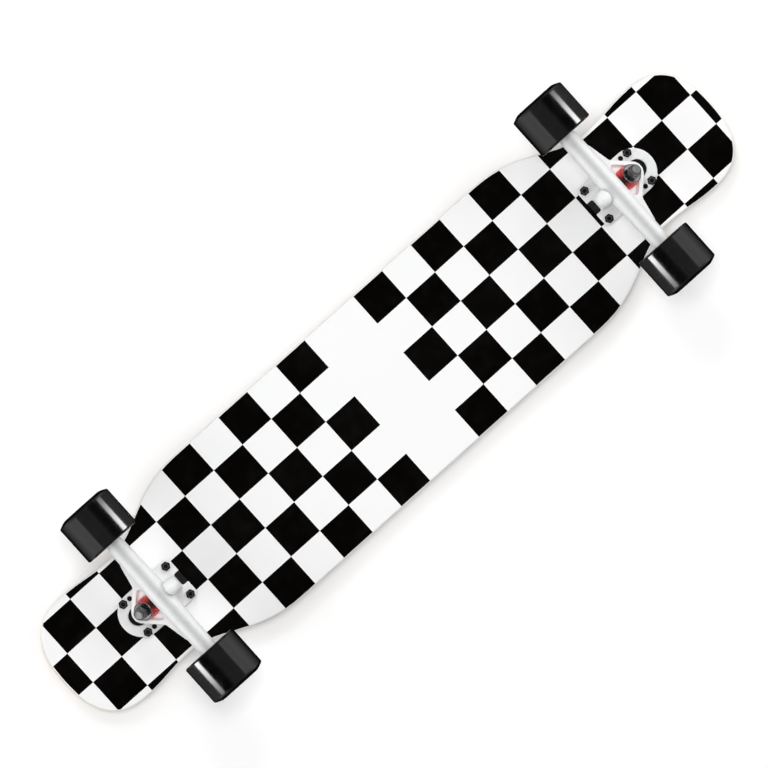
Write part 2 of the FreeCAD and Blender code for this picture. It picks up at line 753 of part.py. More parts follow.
# Pieces that sit once in each truck
truck_pieces = {
    "riser_pad": make_riser_pad(),
    "baseplate": make_baseplate(),
    "pivot_cup": make_pivot_cup(),
    "board_bushing": make_bushing(-board_washer_top, board_bushing_height, bushing_radius),
    "road_bushing": make_bushing(ring_road_side, road_bushing_height, road_bushing_tip_radius),
    "board_washer": make_washer(board_washer_radius, -ramp_level),
    "road_washer": make_washer(road_washer_radius, road_washer_level),
    "hanger": make_hanger(),
    "axle": make_axle(),
    "speed_rings": make_speed_rings(),
    "bearing_inner_rings": make_inner_rings(),
    "bearing_spacers": make_bearing_spacers(),
}
truck_pieces["axle_nuts"], truck_pieces["axle_nut_inserts"] = make_axle_nuts()
for end, frame in TRUCKS.items():
    for name, piece in truck_pieces.items():
        nodes[end + "_" + name] = placed(piece, frame)

# Fasteners that are alike share a node
bolts, mounting_nuts, mounting_inserts = make_mounting_hardware()
kingpin_nut, kingpin_insert = make_kingpin_nut()
fasteners = {
    "mounting_bolts": bolts,
    "mounting_nuts": mounting_nuts,
    "mounting_nut_inserts": mounting_inserts,
    "kingpins": [make_kingpin()],
    "kingpin_nuts": [kingpin_nut],
    "kingpin_nut_inserts": [kingpin_insert],
}
for name, pieces in fasteners.items():
    nodes[name] = Part.makeCompound([placed(piece, frame)
                                     for frame in TRUCKS.values() for piece in pieces])

# Pieces that sit once in each wheel, with +Y outwards
wheel_pieces = {
    "wheel": make_tyre(),
    "wheel_core": make_core(),
    "bearing_outer_rings": make_outer_rings(),
    "bearing_shields": make_shields(),
    "bearing_balls": make_balls(),
    "bearing_cages": make_cages(),
}
for end, direction in (("front", 1), ("rear", -1)):
    for side, turn in (("left", 0), ("right", 180)):
        sign = 1 if side == "left" else -1
        place = V(direction * axle_x, sign * wheel_offset, wheel_radius)
        frame = FreeCAD.Placement(place, FreeCAD.Rotation(UP, turn))
        for name, piece in wheel_pieces.items():
            nodes["_".join((end, side, name))] = placed(piece, frame)

os.makedirs("parts", exist_ok=True)
for name, shape in nodes.items():
    shape.exportStep("parts/" + name + ".step")
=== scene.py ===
# %% [markdown]
# A longboard skateboard, seen from below. The solids of the board are already built at their real
# size: deck, trucks, wheels and everything between them. This lesson dresses them. It loads the
# solids as a fixed frame, gives every surface its finish, makes the turned and threaded pieces that
# want a smoother mesh than a solid has, and sets up a small studio around the board.

# %% Load the board
import math

import bmesh
import bpy
import numpy as np
from mathutils import Matrix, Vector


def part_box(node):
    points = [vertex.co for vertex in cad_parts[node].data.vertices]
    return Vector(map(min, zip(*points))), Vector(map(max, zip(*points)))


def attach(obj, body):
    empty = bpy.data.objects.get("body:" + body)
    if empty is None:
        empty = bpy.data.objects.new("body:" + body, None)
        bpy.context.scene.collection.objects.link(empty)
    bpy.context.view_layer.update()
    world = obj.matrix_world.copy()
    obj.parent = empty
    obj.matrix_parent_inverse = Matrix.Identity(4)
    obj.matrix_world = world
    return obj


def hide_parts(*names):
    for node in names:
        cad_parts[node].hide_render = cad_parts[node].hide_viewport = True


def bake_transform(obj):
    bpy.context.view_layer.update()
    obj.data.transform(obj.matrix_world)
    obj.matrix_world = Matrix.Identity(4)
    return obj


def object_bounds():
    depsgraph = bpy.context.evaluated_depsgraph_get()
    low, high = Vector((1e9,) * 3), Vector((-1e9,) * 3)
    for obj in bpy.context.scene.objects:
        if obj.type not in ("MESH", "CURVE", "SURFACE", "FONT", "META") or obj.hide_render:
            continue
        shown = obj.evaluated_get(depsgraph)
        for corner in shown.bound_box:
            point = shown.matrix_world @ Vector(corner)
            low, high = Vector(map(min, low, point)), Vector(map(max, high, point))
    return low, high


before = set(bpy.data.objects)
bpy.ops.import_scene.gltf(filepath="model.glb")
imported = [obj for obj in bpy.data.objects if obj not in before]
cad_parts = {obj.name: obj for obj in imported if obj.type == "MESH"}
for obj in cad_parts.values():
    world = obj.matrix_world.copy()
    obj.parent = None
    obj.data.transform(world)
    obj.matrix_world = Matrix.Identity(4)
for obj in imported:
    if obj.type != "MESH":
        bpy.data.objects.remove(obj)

cad_box = [list(corner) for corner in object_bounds()]
print("solids:", len(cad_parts), "box:", cad_box)

# %% [markdown]
# A board repeats itself: two trucks, one the half turn of the other, and four wheels. Names built
# by loops keep the pieces of a set together. Places could be typed in by hand, but the frame already
# knows them, so two small functions ask it where a solid is.

# %% Name what repeats
MM = 0.001
ENDS = ("front", "rear")
SIDES = ("left", "right")
WHEELS = [f"{end}_{side}" for end in ENDS for side in SIDES]


def corners_of(node):
    """The lowest and the highest corner of a node at rest, as two arrays."""
    low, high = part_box(node)
    return np.array(low), np.array(high)


def middle_of(node):
    """The middle of a node's box: the mean of its lowest and highest corner."""
    return np.mean(corners_of(node), axis=0)


axle_x = middle_of("front_left_wheel")[0]
axle_z = middle_of("front_left_wheel")[2]
print("wheelbase:", round(2 * axle_x / MM, 1), "mm, axle height:", round(axle_z / MM, 1), "mm")

# %% [markdown]
# Every new piece here is a ring: a tyre, a bushing, a sleeve of thread. The Spin tool could turn them
# one at a time. But a ring is also a grid of points that closes both ways, and then one function makes
# a mesh of any of them. The faces come from whole arrays of row and column numbers, which is far
# quicker than a loop over the points, and the normals are made to point outwards.

# %% Turn closed grids into meshes
SHARP_EDGE = math.radians(38)


def in_scene(name, data):
    """An object at the origin for a mesh, a lamp or a camera, linked to the scene."""
    thing = bpy.data.objects.new(name, data)
    bpy.context.collection.objects.link(thing)
    return thing


def grid_faces(rows, columns):
    """Faces of a grid closed both ways: a point, the next in its row, and the two beside them in the
    next row. The last row and column go on to the first."""
    row, column = np.meshgrid(np.arange(rows), np.arange(columns), indexing="ij")
    next_row = (row + 1) % rows
    next_column = (column + 1) % columns
    corners = (
        row * columns + column,
        row * columns + next_column,
        next_row * columns + next_column,
        next_row * columns + column,
    )
    return np.stack(corners, axis=-1).reshape(-1, 4)


def ring_piece(name, grids):
    """One object from several grids of the same size: the faces of each grid are those of the first,
    with the number of all points before it added."""
    grids = np.asarray(grids)
    copies, rows, columns, _ = grids.shape
    offsets = np.arange(copies)[:, None, None] * rows * columns
    faces = (grid_faces(rows, columns) + offsets).reshape(-1, 4)
    mesh = bpy.data.meshes.new(name)
    mesh.from_pydata(grids.reshape(-1, 3).tolist(), [], faces.tolist())
    shell = bmesh.new()
    shell.from_mesh(mesh)
    bmesh.ops.recalc_face_normals(shell, faces=shell.faces)
    shell.to_mesh(mesh)
    shell.free()
    mesh.shade_smooth()
    mesh.set_sharp_from_angle(angle=SHARP_EDGE)
    print("made", name, "with", len(mesh.polygons), "faces")
    return in_scene(name, mesh)


print("a closed grid of 3 rows and 4 columns has", len(grid_faces(3, 4)), "faces")

# %% [markdown]
# A turned piece starts as a profile, the outline a lathe tool would cut. Moulded urethane has no
# knife edges. A Bevel modifier could round them afterwards, but here each corner of the profile is
# replaced by an arc, which keeps the rows of points even. The arc's middle lies on the line that
# halves the corner, and its points come from turning one radius towards the other.

# %% Profiles with rounded corners
ARC_STEPS = 9
POINT_DIGITS = 2


def unit(vectors):
    """Vectors of length one: each divided by its own length."""
    return vectors / np.linalg.norm(vectors, axis=-1, keepdims=True)


def rounded(corners):
    """A closed profile from rows of (radius, height, rounding). At each corner the arc's middle lies
    at rounding over the sine of half the corner's angle, and the arc runs between the two radii that
    are square to the sides."""
    corners = np.asarray(corners, dtype=float)
    place = corners[:, :2]
    rounding = corners[:, 2:]
    to_last = unit(np.roll(place, 1, axis=0) - place)
    to_next = unit(np.roll(place, -1, axis=0) - place)
    half = np.arccos(np.sum(to_last * to_next, axis=1, keepdims=True)) / 2
    centre = place + unit(to_last + to_next) * rounding / np.sin(half)
    reach = rounding / np.tan(half)
    first = place + to_last * reach - centre
    last = place + to_next * reach - centre
    turn = (np.pi - 2 * half)[:, None, :]
    share = np.linspace(0, 1, ARC_STEPS)[None, :, None]
    arc = np.sin((1 - share) * turn) * first[:, None, :] + np.sin(share * turn) * last[:, None, :]
    return (centre[:, None, :] + arc / np.sin(turn)).reshape(-1, 2)


def filled(profile, spacing):
    """The profile with points added at even spacing along its length, so that long straight runs
    carry enough points for smooth shading. Points closer than a hundredth of it become one."""
    closed = np.vstack([profile, profile[:1]])
    steps = np.linalg.norm(np.diff(closed, axis=0), axis=1)
    along = np.concatenate([[0], np.cumsum(steps)])
    extra = np.arange(0, along[-1], spacing)
    whole = along[-1] - spacing / 10**POINT_DIGITS
    places = np.unique(np.round(np.concatenate([along, extra]) / spacing, POINT_DIGITS)) * spacing
    places = places[places < whole]
    return np.stack([np.interp(places, along, column) for column in closed.T], axis=1)


square = np.array([(10, 0, 1), (20, 0, 1), (20, 10, 1), (10, 10, 1)]) * MM
print("a square profile with round corners has", len(rounded(square)), "points")

# %% [markdown]
# A lathe turns the profile about one line. The Screw modifier does the same, and wants an object that
# marks each line. With arrays it is a cosine and a sine, and a second step lays the turned points along
# any line, which an axle, a leaning kingpin and an upright bolt all need.

# %% Turn a profile and lay it along a line
NEARLY_ALONG = 0.9


def turned(profile, around):
    """A profile carried round the Z axis: x is the radius times the cosine of the angle, y the radius
    times its sine, and z the height."""
    angle = np.linspace(0, 2 * np.pi, around, endpoint=False)
    radius = profile[:, :1]
    height = profile[:, 1:]
    points = (radius * np.cos(angle), radius * np.sin(angle), height + 0 * angle)
    return np.stack(points, axis=-1)


def placed(points, origin, axis):
    """Points whose Z axis is laid along another axis and moved: the origin plus x, y and z times
    three unit vectors at right angles."""
    up = unit(np.asarray(axis, dtype=float))
    guide = (0.0, 1.0, 0.0) if abs(up[1]) < NEARLY_ALONG else (1.0, 0.0, 0.0)
    aside = unit(np.cross(guide, up))
    across = np.cross(up, aside)
    return np.asarray(origin) + points @ np.stack([aside, across, up])


print("turned in 12 steps it has", turned(rounded(square), 12).size // 3, "points")

# %% [markdown]
# The wheels are poured urethane, 70 mm high and 55 mm wide. The inner face is nearly flat, so that the
# tread is wide, and the outer face falls away towards its lip. The solid wheels could be kept, but
# tyres mirror the studio more sharply than anything else on the board, and facets would show at once.
# So each is turned with many steps round, and has the shallow ring that a mould leaves on its faces.

# %% Sizes of a tyre
wheel_low, wheel_high = corners_of("front_left_wheel")
tyre_radius = (wheel_high[2] - wheel_low[2]) / 2
crown_half = (wheel_high[1] - wheel_low[1]) / 2
crown_radius = 22 * MM
crown_rounding = 3 * MM
inner_fall = 0.4 * MM
outer_fall = 4.4 * MM
fall_power = 1.6
lip_rounding = 2.4 * MM
bond_radius = 18.03 * MM
bond_half = 17 * MM
ring_radius = 26.5 * MM
ring_width = 1.6 * MM
ring_depth = 0.35 * MM
ring_rounding = 0.3 * MM
sharp_rounding = 0.05 * MM
tyre_around = 192
tyre_spacing = 1.2 * MM
print("tyre:", round(2 * tyre_radius / MM, 1), "mm high,", round(2 * crown_half / MM, 1), "mm wide")


# %% Cast the tyres
def tyre_face(side, fall):
    """Half of the tyre's profile, from the bond at the core to the lip: side is -1 or 1. The face lies
    below the crown by its fall times a power of the share of the way out to the lip, and the ring lies
    its depth below that."""
    ring_share = (np.array([0, ring_width]) + ring_radius - crown_radius) / (tyre_radius - crown_radius)
    start, end = crown_half - fall * ring_share**fall_power
    return [
        (bond_radius, side * bond_half, sharp_rounding),
        (crown_radius, side * crown_half, crown_rounding),
        (ring_radius, side * start, ring_rounding),
        (ring_radius + ring_width / 4, side * (start - ring_depth), ring_rounding),
        (ring_radius + 3 * ring_width / 4, side * (end - ring_depth), ring_rounding),
        (ring_radius + ring_width, side * end, ring_rounding),
        (tyre_radius, side * (crown_half - fall), lip_rounding),
    ]


tyre_corners = tyre_face(-1, inner_fall) + tyre_face(1, outer_fall)[::-1]
tyre_profile = filled(rounded(tyre_corners), tyre_spacing)
tyre_grid = turned(tyre_profile, tyre_around)
tyres = {}
for wheel in WHEELS:
    place = middle_of(wheel + "_wheel")
    outwards = (0, math.copysign(1, place[1]), 0)
    tyres[wheel] = ring_piece(wheel + "_tyre", [placed(tyre_grid, place, outwards)])
    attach(tyres[wheel], wheel + "_wheel")
    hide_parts(wheel + "_wheel")

# %% [markdown]
# The bushings are the springs of a truck: urethane rings squeezed between the washers and the
# hanger's ring. When the hanger leans they bend. Shape keys could show that for a few poses. Here each
# is turned once, at rest, along the line from its washer to the middle of its solid.

# %% Cast the bushings
bushing_around = 96
bushing_spacing = 0.8 * MM
bushing_bore = 6.3 * MM
bushing_radius = 13 * MM
bushing_tip = 11 * MM
bushing_bulge = 0.55 * MM
bushing_rounding = 0.9 * MM
barrel_rounding = 30 * MM
washer_half = 1 * MM
board_bushing_height = 14 * MM
road_bushing_height = 15 * MM
BUSHINGS = {
    "board": (board_bushing_height, bushing_radius),
    "road": (road_bushing_height, bushing_tip),
}


def bushing_profile(height, end_radius):
    """A barrel from the washer at zero height to the ring: its side leans out by the bulge half way
    up, and both rims are rounded."""
    belly = (end_radius + bushing_radius) / 2 + bushing_bulge
    corners = [
        (bushing_bore, 0, sharp_rounding),
        (end_radius, 0, bushing_rounding),
        (belly, height / 2, barrel_rounding),
        (bushing_radius, height, bushing_rounding),
        (bushing_bore, height, sharp_rounding),
    ]
    return filled(rounded(corners), bushing_spacing)


bushings = {}
for end in ENDS:
    for side, (height, end_radius) in BUSHINGS.items():
        node = f"{end}_{side}_bushing"
        washer = middle_of(f"{end}_{side}_washer")
        axis = unit(middle_of(node) - washer)
        start = washer + axis * washer_half
        grid = turned(bushing_profile(height, end_radius), bushing_around)
        bushings[node] = ring_piece(node + "_cast", [placed(grid, start, axis)])
        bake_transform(bushings[node])
        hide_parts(node)

# %% [markdown]
# The washer under each kingpin nut is a thin cup that holds the bushing. A press rolls its rim, and
# that round rim is what catches the light. A Bevel modifier wants cleaner edges than the solid has, so
# the washer is turned again with its outer corners rounded to nearly half its thickness.

# %% Roll the rims of the road washers
washer_radius = bushing_tip
washer_bore = 5.5 * MM
rim_rounding = 0.95 * MM
washer_spacing = 0.5 * MM
washer_corners = [
    (washer_bore, -washer_half, sharp_rounding),
    (washer_radius, -washer_half, rim_rounding),
    (washer_radius, washer_half, rim_rounding),
    (washer_bore, washer_half, sharp_rounding),
]
washer_grid = turned(filled(rounded(washer_corners), washer_spacing), bushing_around)
washers = {}
for end in ENDS:
    node = end + "_road_washer"
    axis = middle_of(node) - middle_of(end + "_board_washer")
    washers[end] = ring_piece(node + "_rolled", [placed(washer_grid, middle_of(node), axis)])
    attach(washers[end], "deck")
    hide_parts(node)

# %% [markdown]
# Screw threads show wherever a bolt ends past its nut. A Screw modifier could wind a notch up a bolt.
# Here a thread is a cylinder whose radius rises and falls with the height and with the angle at once,
# so that one turn round shifts the pattern by one pitch, and it stays one closed grid. Each sleeve is
# closed by a wall inside the bolt, and its thread fades out at both ends.

# %% Cut the threads
thread_around = 48
rows_per_pitch = 8
thread_wall = 0.6 * MM


def threaded(radius, depth, pitch, length):
    """A sleeve of thread: the radius grows by the depth times a triangle wave of height over pitch
    less angle over a turn, and the wave fades to nothing in the first and last pitch."""
    rows = int(length / pitch * rows_per_pitch) + 2
    angle = np.linspace(0, 2 * np.pi, thread_around, endpoint=False)[None, :]
    height = np.linspace(0, length, rows)[:, None]
    phase = (height / pitch - angle / (2 * np.pi)) % 1
    wave = 1 - np.abs(2 * phase - 1)
    fade = np.clip(np.minimum(height, length - height) / pitch, 0, 1)
    outer = radius + depth * wave * fade
    wall = np.full((2, thread_around), radius - thread_wall)
    radii = np.vstack([outer, wall])
    heights = np.vstack([height, [[length], [0]]])
    points = (radii * np.cos(angle), radii * np.sin(angle), heights + 0 * angle)
    return np.stack(points, axis=-1)


print("one turn of thread has", rows_per_pitch, "rows of", thread_around, "points")

# %% [markdown]
# Four bolts hold each truck to the deck, and their tails show below their nuts. The eight tails are
# alike, so they are copies of one sleeve, in one piece that rides on the deck. A Mirror modifier could
# copy them too, but it can turn a shape inside out, and a list of places can't.

# %% Thread the mounting bolts
bolt_radius = 2.43 * MM
bolt_depth = 0.22 * MM
bolt_pitch = 0.79 * MM
bolt_steps = (-25 * MM, 38.5 * MM)
bolt_half_spacing = 20.64 * MM
tail_bevel = 0.5 * MM

bolt_low = corners_of("mounting_bolts")[0][2] + tail_bevel
bolt_tail = corners_of("mounting_nuts")[0][2] - bolt_low
bolt_thread = threaded(bolt_radius, bolt_depth, bolt_pitch, bolt_tail)
bolt_threads = ring_piece(
    "mounting_bolt_threads",
    [
        placed(bolt_thread, (way * (axle_x + step), side * bolt_half_spacing, bolt_low), (0, 0, 1))
        for way in (-1, 1)
        for step in bolt_steps
        for side in (-1, 1)
    ],
)
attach(bolt_threads, "deck")

# %% [markdown]
# A kingpin leans, so its thread is laid along the line from one washer to the other. An axle is
# threaded at both ends, past its nuts, and goes with its hanger. The lines and lengths are measured on
# the solids, so a thread stays on its bolt if the truck is built again with another lean.

# %% Thread the kingpins and axles
kingpin_radius = 4.7 * MM
kingpin_depth = 0.35 * MM
kingpin_pitch = 1.06 * MM
kingpin_nut_height = 9.6 * MM
kingpin_tail = 2 * MM
axle_radius = 3.95 * MM
axle_depth = 0.3 * MM
axle_pitch = 1.06 * MM

kingpin_thread = threaded(kingpin_radius, kingpin_depth, kingpin_pitch, kingpin_tail - tail_bevel)
kingpin_grids = []
for end in ENDS:
    washer = middle_of(end + "_road_washer")
    axis = unit(washer - middle_of(end + "_board_washer"))
    start = washer + axis * (washer_half + kingpin_nut_height)
    kingpin_grids.append(placed(kingpin_thread, start, axis))
kingpin_threads = ring_piece("kingpin_threads", kingpin_grids)
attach(kingpin_threads, "deck")

axle_threads = {}
for end in ENDS:
    tip = corners_of(end + "_axle")[1][1] - tail_bevel
    nut = corners_of(end + "_axle_nuts")[1][1]
    axle_thread = threaded(axle_radius, axle_depth, axle_pitch, tip - nut)
    centre = middle_of(end + "_axle")
    grids = [
        placed(axle_thread, (centre[0], side * nut, centre[2]), (0, side, 0)) for side in (-1, 1)
    ]
    axle_threads[end] = ring_piece(end + "_axle_threads", grids)
    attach(axle_threads[end], end + "_hanger")

# %% [markdown]
# Baseplates and hangers are cast, and a casting has no sharp edge: the mould rounds them and the paint
# fills what is left. A Bevel modifier wants cleaner edges than a solid's triangles give. So each
# casting is a copy of its solid, merged, covered with an even skin of small squares, and relaxed.
# Relaxing moves each point towards its neighbours, which rounds edges and leaves flat faces flat.

# %% Soften the castings
skin_step = 0.8 * MM
relax_rounds = 9
relax_share = 0.5
merge_distance = 0.001 * MM


def softened(name, node):
    """A copy of a solid: doubles merged, an even skin of squares laid over it, and every point moved by
    the share of the way to its neighbours' mean, for a number of rounds."""
    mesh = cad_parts[node].data.copy()
    shell = bmesh.new()
    shell.from_mesh(mesh)
    bmesh.ops.remove_doubles(shell, verts=shell.verts, dist=merge_distance)
    shell.to_mesh(mesh)
    shell.free()
    piece = in_scene(name, mesh)
    skin = piece.modifiers.new("even_skin", "REMESH")
    skin.mode = "VOXEL"
    skin.voxel_size = skin_step
    relax = piece.modifiers.new("soft_edges", "SMOOTH")
    relax.factor = relax_share
    relax.iterations = relax_rounds
    graph = bpy.context.evaluated_depsgraph_get()
    piece.data = bpy.data.meshes.new_from_object(piece.evaluated_get(graph))
    piece.modifiers.clear()
    piece.data.materials.clear()
    piece.data.shade_smooth()
    print("softened", node, "with", len(piece.data.polygons), "faces")
    return piece


castings = {}
for end in ENDS:
    for kind, body in (("baseplate", "deck"), ("hanger", end + "_hanger")):
        node = f"{end}_{kind}"
        castings[node] = softened(node + "_casting", node)
        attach(castings[node], body)
        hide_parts(node)

# %% [markdown]
# The finishes are node trees, and every tree is made of the same few steps: a sum, a mix of two
# colours, a noise. They could be wired by hand in the shader editor. Small functions that add one node
# and hand back its result keep each finish as short as its recipe. A value that is a socket is linked,
# and tells which tree the node belongs to. Any other value is set.


# %% Functions that add one node
def new_step(kind, *values):
    """A new node, in the tree of the first value that is a socket."""
    sockets = [value for value in values if isinstance(value, bpy.types.NodeSocket)]
    return sockets[0].id_data.nodes.new(kind)


def feed(socket, value):
    """Links a socket to another node's result, or sets it to a plain value."""
    if isinstance(value, bpy.types.NodeSocket):
        socket.id_data.links.new(value, socket)
    else:
        socket.default_value = value


def reckon(operation, *values):
    """One Math node: its inputs are fed in order."""
    step = new_step("ShaderNodeMath", *values)
    step.operation = operation
    for socket, value in zip(step.inputs, values):
        feed(socket, value)
    return step.outputs[0]


operations = bpy.types.ShaderNodeMath.bl_rna.properties["operation"].enum_items
print("a Math node can do", len(operations), "sums")

# %% [markdown]
# Most sums are plain, and a name for each lets a recipe be read aloud. The ramp is the other tool of
# the trade. A comparison would leave a hard edge, and a ramp goes smoothly from one value to another.


# %% Sums in words
def plus(first, second):
    """The sum of two values."""
    return reckon("ADD", first, second)


def less(first, second):
    """The first value less the second."""
    return reckon("SUBTRACT", first, second)


def times(first, second):
    """The product of two values."""
    return reckon("MULTIPLY", first, second)


def even(number):
    """1 where a whole number is even, because its remainder by two is then under a half."""
    return reckon("LESS_THAN", reckon("MODULO", number, 2.0), 0.5)


def ramp(value, low, high, start=0.0, end=1.0):
    """A value that goes smoothly from start to end as the input goes from low to high."""
    step = new_step("ShaderNodeMapRange", value)
    step.interpolation_type = "SMOOTHSTEP"
    for socket, number in zip(step.inputs, (value, low, high, start, end)):
        feed(socket, number)
    return step.outputs[0]


print("sums in words:", [step.__name__ for step in (plus, less, times, even, ramp)])

# %% [markdown]
# A colour is a mix of two tones by a share, and the share mostly comes from noise. Noise can be
# stretched along one direction, as the grain of wood is. Photographs of surfaces could do as much, but
# they need files and UV maps, and noise needs only a place.

# %% Colours and noise
MIX_FIRST = 6
MIX_SECOND = 7
MIX_RESULT = 2


def mixed(share, first, second):
    """A colour between two: the first where the share is 0, the second where it is 1."""
    step = new_step("ShaderNodeMix", share)
    step.data_type = "RGBA"
    feed(step.inputs[0], share)
    feed(step.inputs[MIX_FIRST], first)
    feed(step.inputs[MIX_SECOND], second)
    return step.outputs[MIX_RESULT]


def noise(vector, scale, detail=2.0):
    """A smooth random value from 0 to 1, with the scale in waves per metre."""
    step = new_step("ShaderNodeTexNoise", vector)
    feed(step.inputs["Vector"], vector)
    feed(step.inputs["Scale"], scale)
    feed(step.inputs["Detail"], detail)
    return step.outputs["Fac"]


def stretched(vector, scale):
    """The vector with each direction multiplied by its own number."""
    step = new_step("ShaderNodeVectorMath", vector)
    step.operation = "MULTIPLY"
    feed(step.inputs[0], vector)
    feed(step.inputs[1], scale)
    return step.outputs[0]


def split(vector):
    """The three coordinates of a vector."""
    step = new_step("ShaderNodeSeparateXYZ", vector)
    feed(step.inputs[0], vector)
    return step.outputs


print("colours and noise:", [step.__name__ for step in (mixed, noise, stretched, split)])

# %% [markdown]
# A finish is one material with a Principled shader. What is the same all over a surface is set
# straight on the shader, and only what changes over it is wired, by the Object coordinates, which stay
# on a piece when it moves. Solids have their material slots already, and new pieces get their first.


# %% Start a finish and put it on
def new_finish(name, plain):
    """A material with one Principled shader, whose plain values are set by their socket's name."""
    finish = bpy.data.materials.new(name)
    finish.use_nodes = True
    shader = finish.node_tree.nodes["Principled BSDF"]
    for socket, value in plain.items():
        shader.inputs[socket].default_value = value
    return finish, finish.node_tree, shader


def place_on(tree):
    """Where a point lies on its piece: the Object coordinates."""
    return tree.nodes.new("ShaderNodeTexCoord").outputs["Object"]


def wire(shader, colour, rough, height, distance):
    """Links what changes over a surface: its colour, its roughness, and the tilt of its normals, as a
    surface of that height, times the distance in metres, would have."""
    tilt = new_step("ShaderNodeBump", height)
    feed(tilt.inputs["Distance"], distance)
    feed(tilt.inputs["Height"], height)
    feed(shader.inputs["Base Color"], colour)
    feed(shader.inputs["Roughness"], rough)
    feed(shader.inputs["Normal"], tilt.outputs["Normal"])


def dress(finish, *nodes):
    """Puts a finish on solids of the frame, in every material slot they have."""
    for node in nodes:
        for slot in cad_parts[node].material_slots:
            slot.material = finish
    print(finish.name, "on", ", ".join(nodes))


def coat(finish, *pieces):
    """Puts a finish on new pieces."""
    for piece in pieces:
        piece.data.materials.append(finish)
    print(finish.name, "on", ", ".join(piece.name for piece in pieces))


# %% [markdown]
# Two effects come back on many surfaces. Grain is the fine roughness that a mould, a spray gun or a
# die leaves, with a slow drift of tone on top of it. Dust is what settles and rubs off unevenly.
# Each finish could have its own copy. Both are node groups instead, built once and placed in each
# finish with its own scale and amount.

# %% Build the shared effects
GRAIN_DETAIL = 3.0
TONE_RANGE = (0.3, 0.7)
CLOUD_DETAIL = 6.0
CLOUD_RANGE = (0.42, 0.75)
SPECK_STRETCH = (9.0, 9.0, 9.0)


def new_group(name, inputs, outputs):
    """A node group with named sockets, and its input and output nodes."""
    group = bpy.data.node_groups.new(name, "ShaderNodeTree")
    for label, kind in inputs.items():
        group.interface.new_socket(name=label, in_out="INPUT", socket_type="NodeSocket" + kind)
    for label, kind in outputs.items():
        group.interface.new_socket(name=label, in_out="OUTPUT", socket_type="NodeSocket" + kind)
    entry = group.nodes.new("NodeGroupInput")
    leave = group.nodes.new("NodeGroupOutput")
    return group, entry.outputs, leave.inputs


grain_group, entry, leave = new_group(
    "surface_grain",
    {"Place": "Vector", "Fine Scale": "Float", "Broad Scale": "Float"},
    {"Height": "Float", "Tone": "Float"},
)
fine_noise = noise(entry["Place"], entry["Fine Scale"], GRAIN_DETAIL)
feed(leave["Height"], fine_noise)
broad_noise = noise(entry["Place"], entry["Broad Scale"])
feed(leave["Tone"], ramp(broad_noise, *TONE_RANGE))

dust_group, entry, leave = new_group(
    "settled_dust",
    {"Place": "Vector", "Scale": "Float", "Amount": "Float"},
    {"Mask": "Float"},
)
cloud = noise(entry["Place"], entry["Scale"], CLOUD_DETAIL)
speck = noise(stretched(entry["Place"], SPECK_STRETCH), entry["Scale"])
settled = times(ramp(cloud, *CLOUD_RANGE), speck)
feed(leave["Mask"], times(settled, entry["Amount"]))


def effect(group, **values):
    """One of the shared groups placed in a finish, with its inputs fed by name."""
    step = new_step("ShaderNodeGroup", *values.values())
    step.node_tree = group
    for label, value in values.items():
        feed(step.inputs[label.replace("_", " ").title()], value)
    return step.outputs


print("effects:", [group.name for group in bpy.data.node_groups])

# %% [markdown]
# The deck is pressed from eight maple plies. Below it is printed with large black and white checks,
# and on its side the plies show as stripes. A UV map could carry them. One material does it all by
# asking how far a point lies above the underside, which is flat in the middle and bends up at nose and
# tail: an arc first, then a straight rise.

# %% Measure the height above the underside
underside = corners_of("deck")[0][2]
kick_start = 402.5 * MM
kick_radius = 180 * MM
kick_angle = math.radians(9)
arc_reach = kick_radius * math.sin(kick_angle)
print("underside at", round(underside / MM, 1), "mm, kick's arc", round(arc_reach / MM, 1), "mm long")


def ply_height(along, up):
    """Height above the underside: z less the flat height, less the kick's rise. The rise is the radius
    less the root of its square minus the square of the distance into the arc, and from the arc's
    end on, the distance times the slope."""
    past = less(reckon("ABSOLUTE", along), kick_start)
    into = reckon("MAXIMUM", past, 0.0)
    bend = reckon("MINIMUM", into, arc_reach)
    under_root = less(kick_radius**2, times(bend, bend))
    arc_rise = less(kick_radius, reckon("SQRT", under_root))
    line_rise = times(less(into, bend), math.tan(kick_angle))
    level = less(less(up, underside), arc_rise)
    return less(level, line_rise)


# %% [markdown]
# The checks stand in two blocks, one towards the nose and one towards the tail, with a bare white band
# between them. Blender's Checker texture makes one block that starts at the origin.

# %% Lay out the checks
check = 42.9 * MM
nose_checks_start = 42.8 * MM
tail_checks_start = 30.0 * MM
white_band = nose_checks_start + tail_checks_start
print("checks of", round(check / MM, 1), "mm, white band of", round(white_band / MM, 1), "mm")


def black_checks(along, across):
    """A mask that is 1 on black checks. Columns are counted outwards from each block's first edge and
    rows from the middle line, and a check is black where the two counts add up to an even number.
    Between the two blocks nothing is black."""
    nose_way = less(along, nose_checks_start)
    tail_way = less(-tail_checks_start, along)
    way = reckon("MAXIMUM", nose_way, tail_way)
    column = reckon("FLOOR", reckon("DIVIDE", way, check))
    row = reckon("ROUND", reckon("DIVIDE", across, check))
    black = even(reckon("ABSOLUTE", plus(column, row)))
    return times(black, reckon("GREATER_THAN", way, 0.0))


# %% [markdown]
# The side of the deck is bare maple. Real plies could be eight solids, but they are glued for good, so
# they are drawn. Maple has a fine grain along each ply, so the noise behind it is stretched, and every
# second ply is a shade darker because its grain runs across. A thin dark line of glue lies between two.

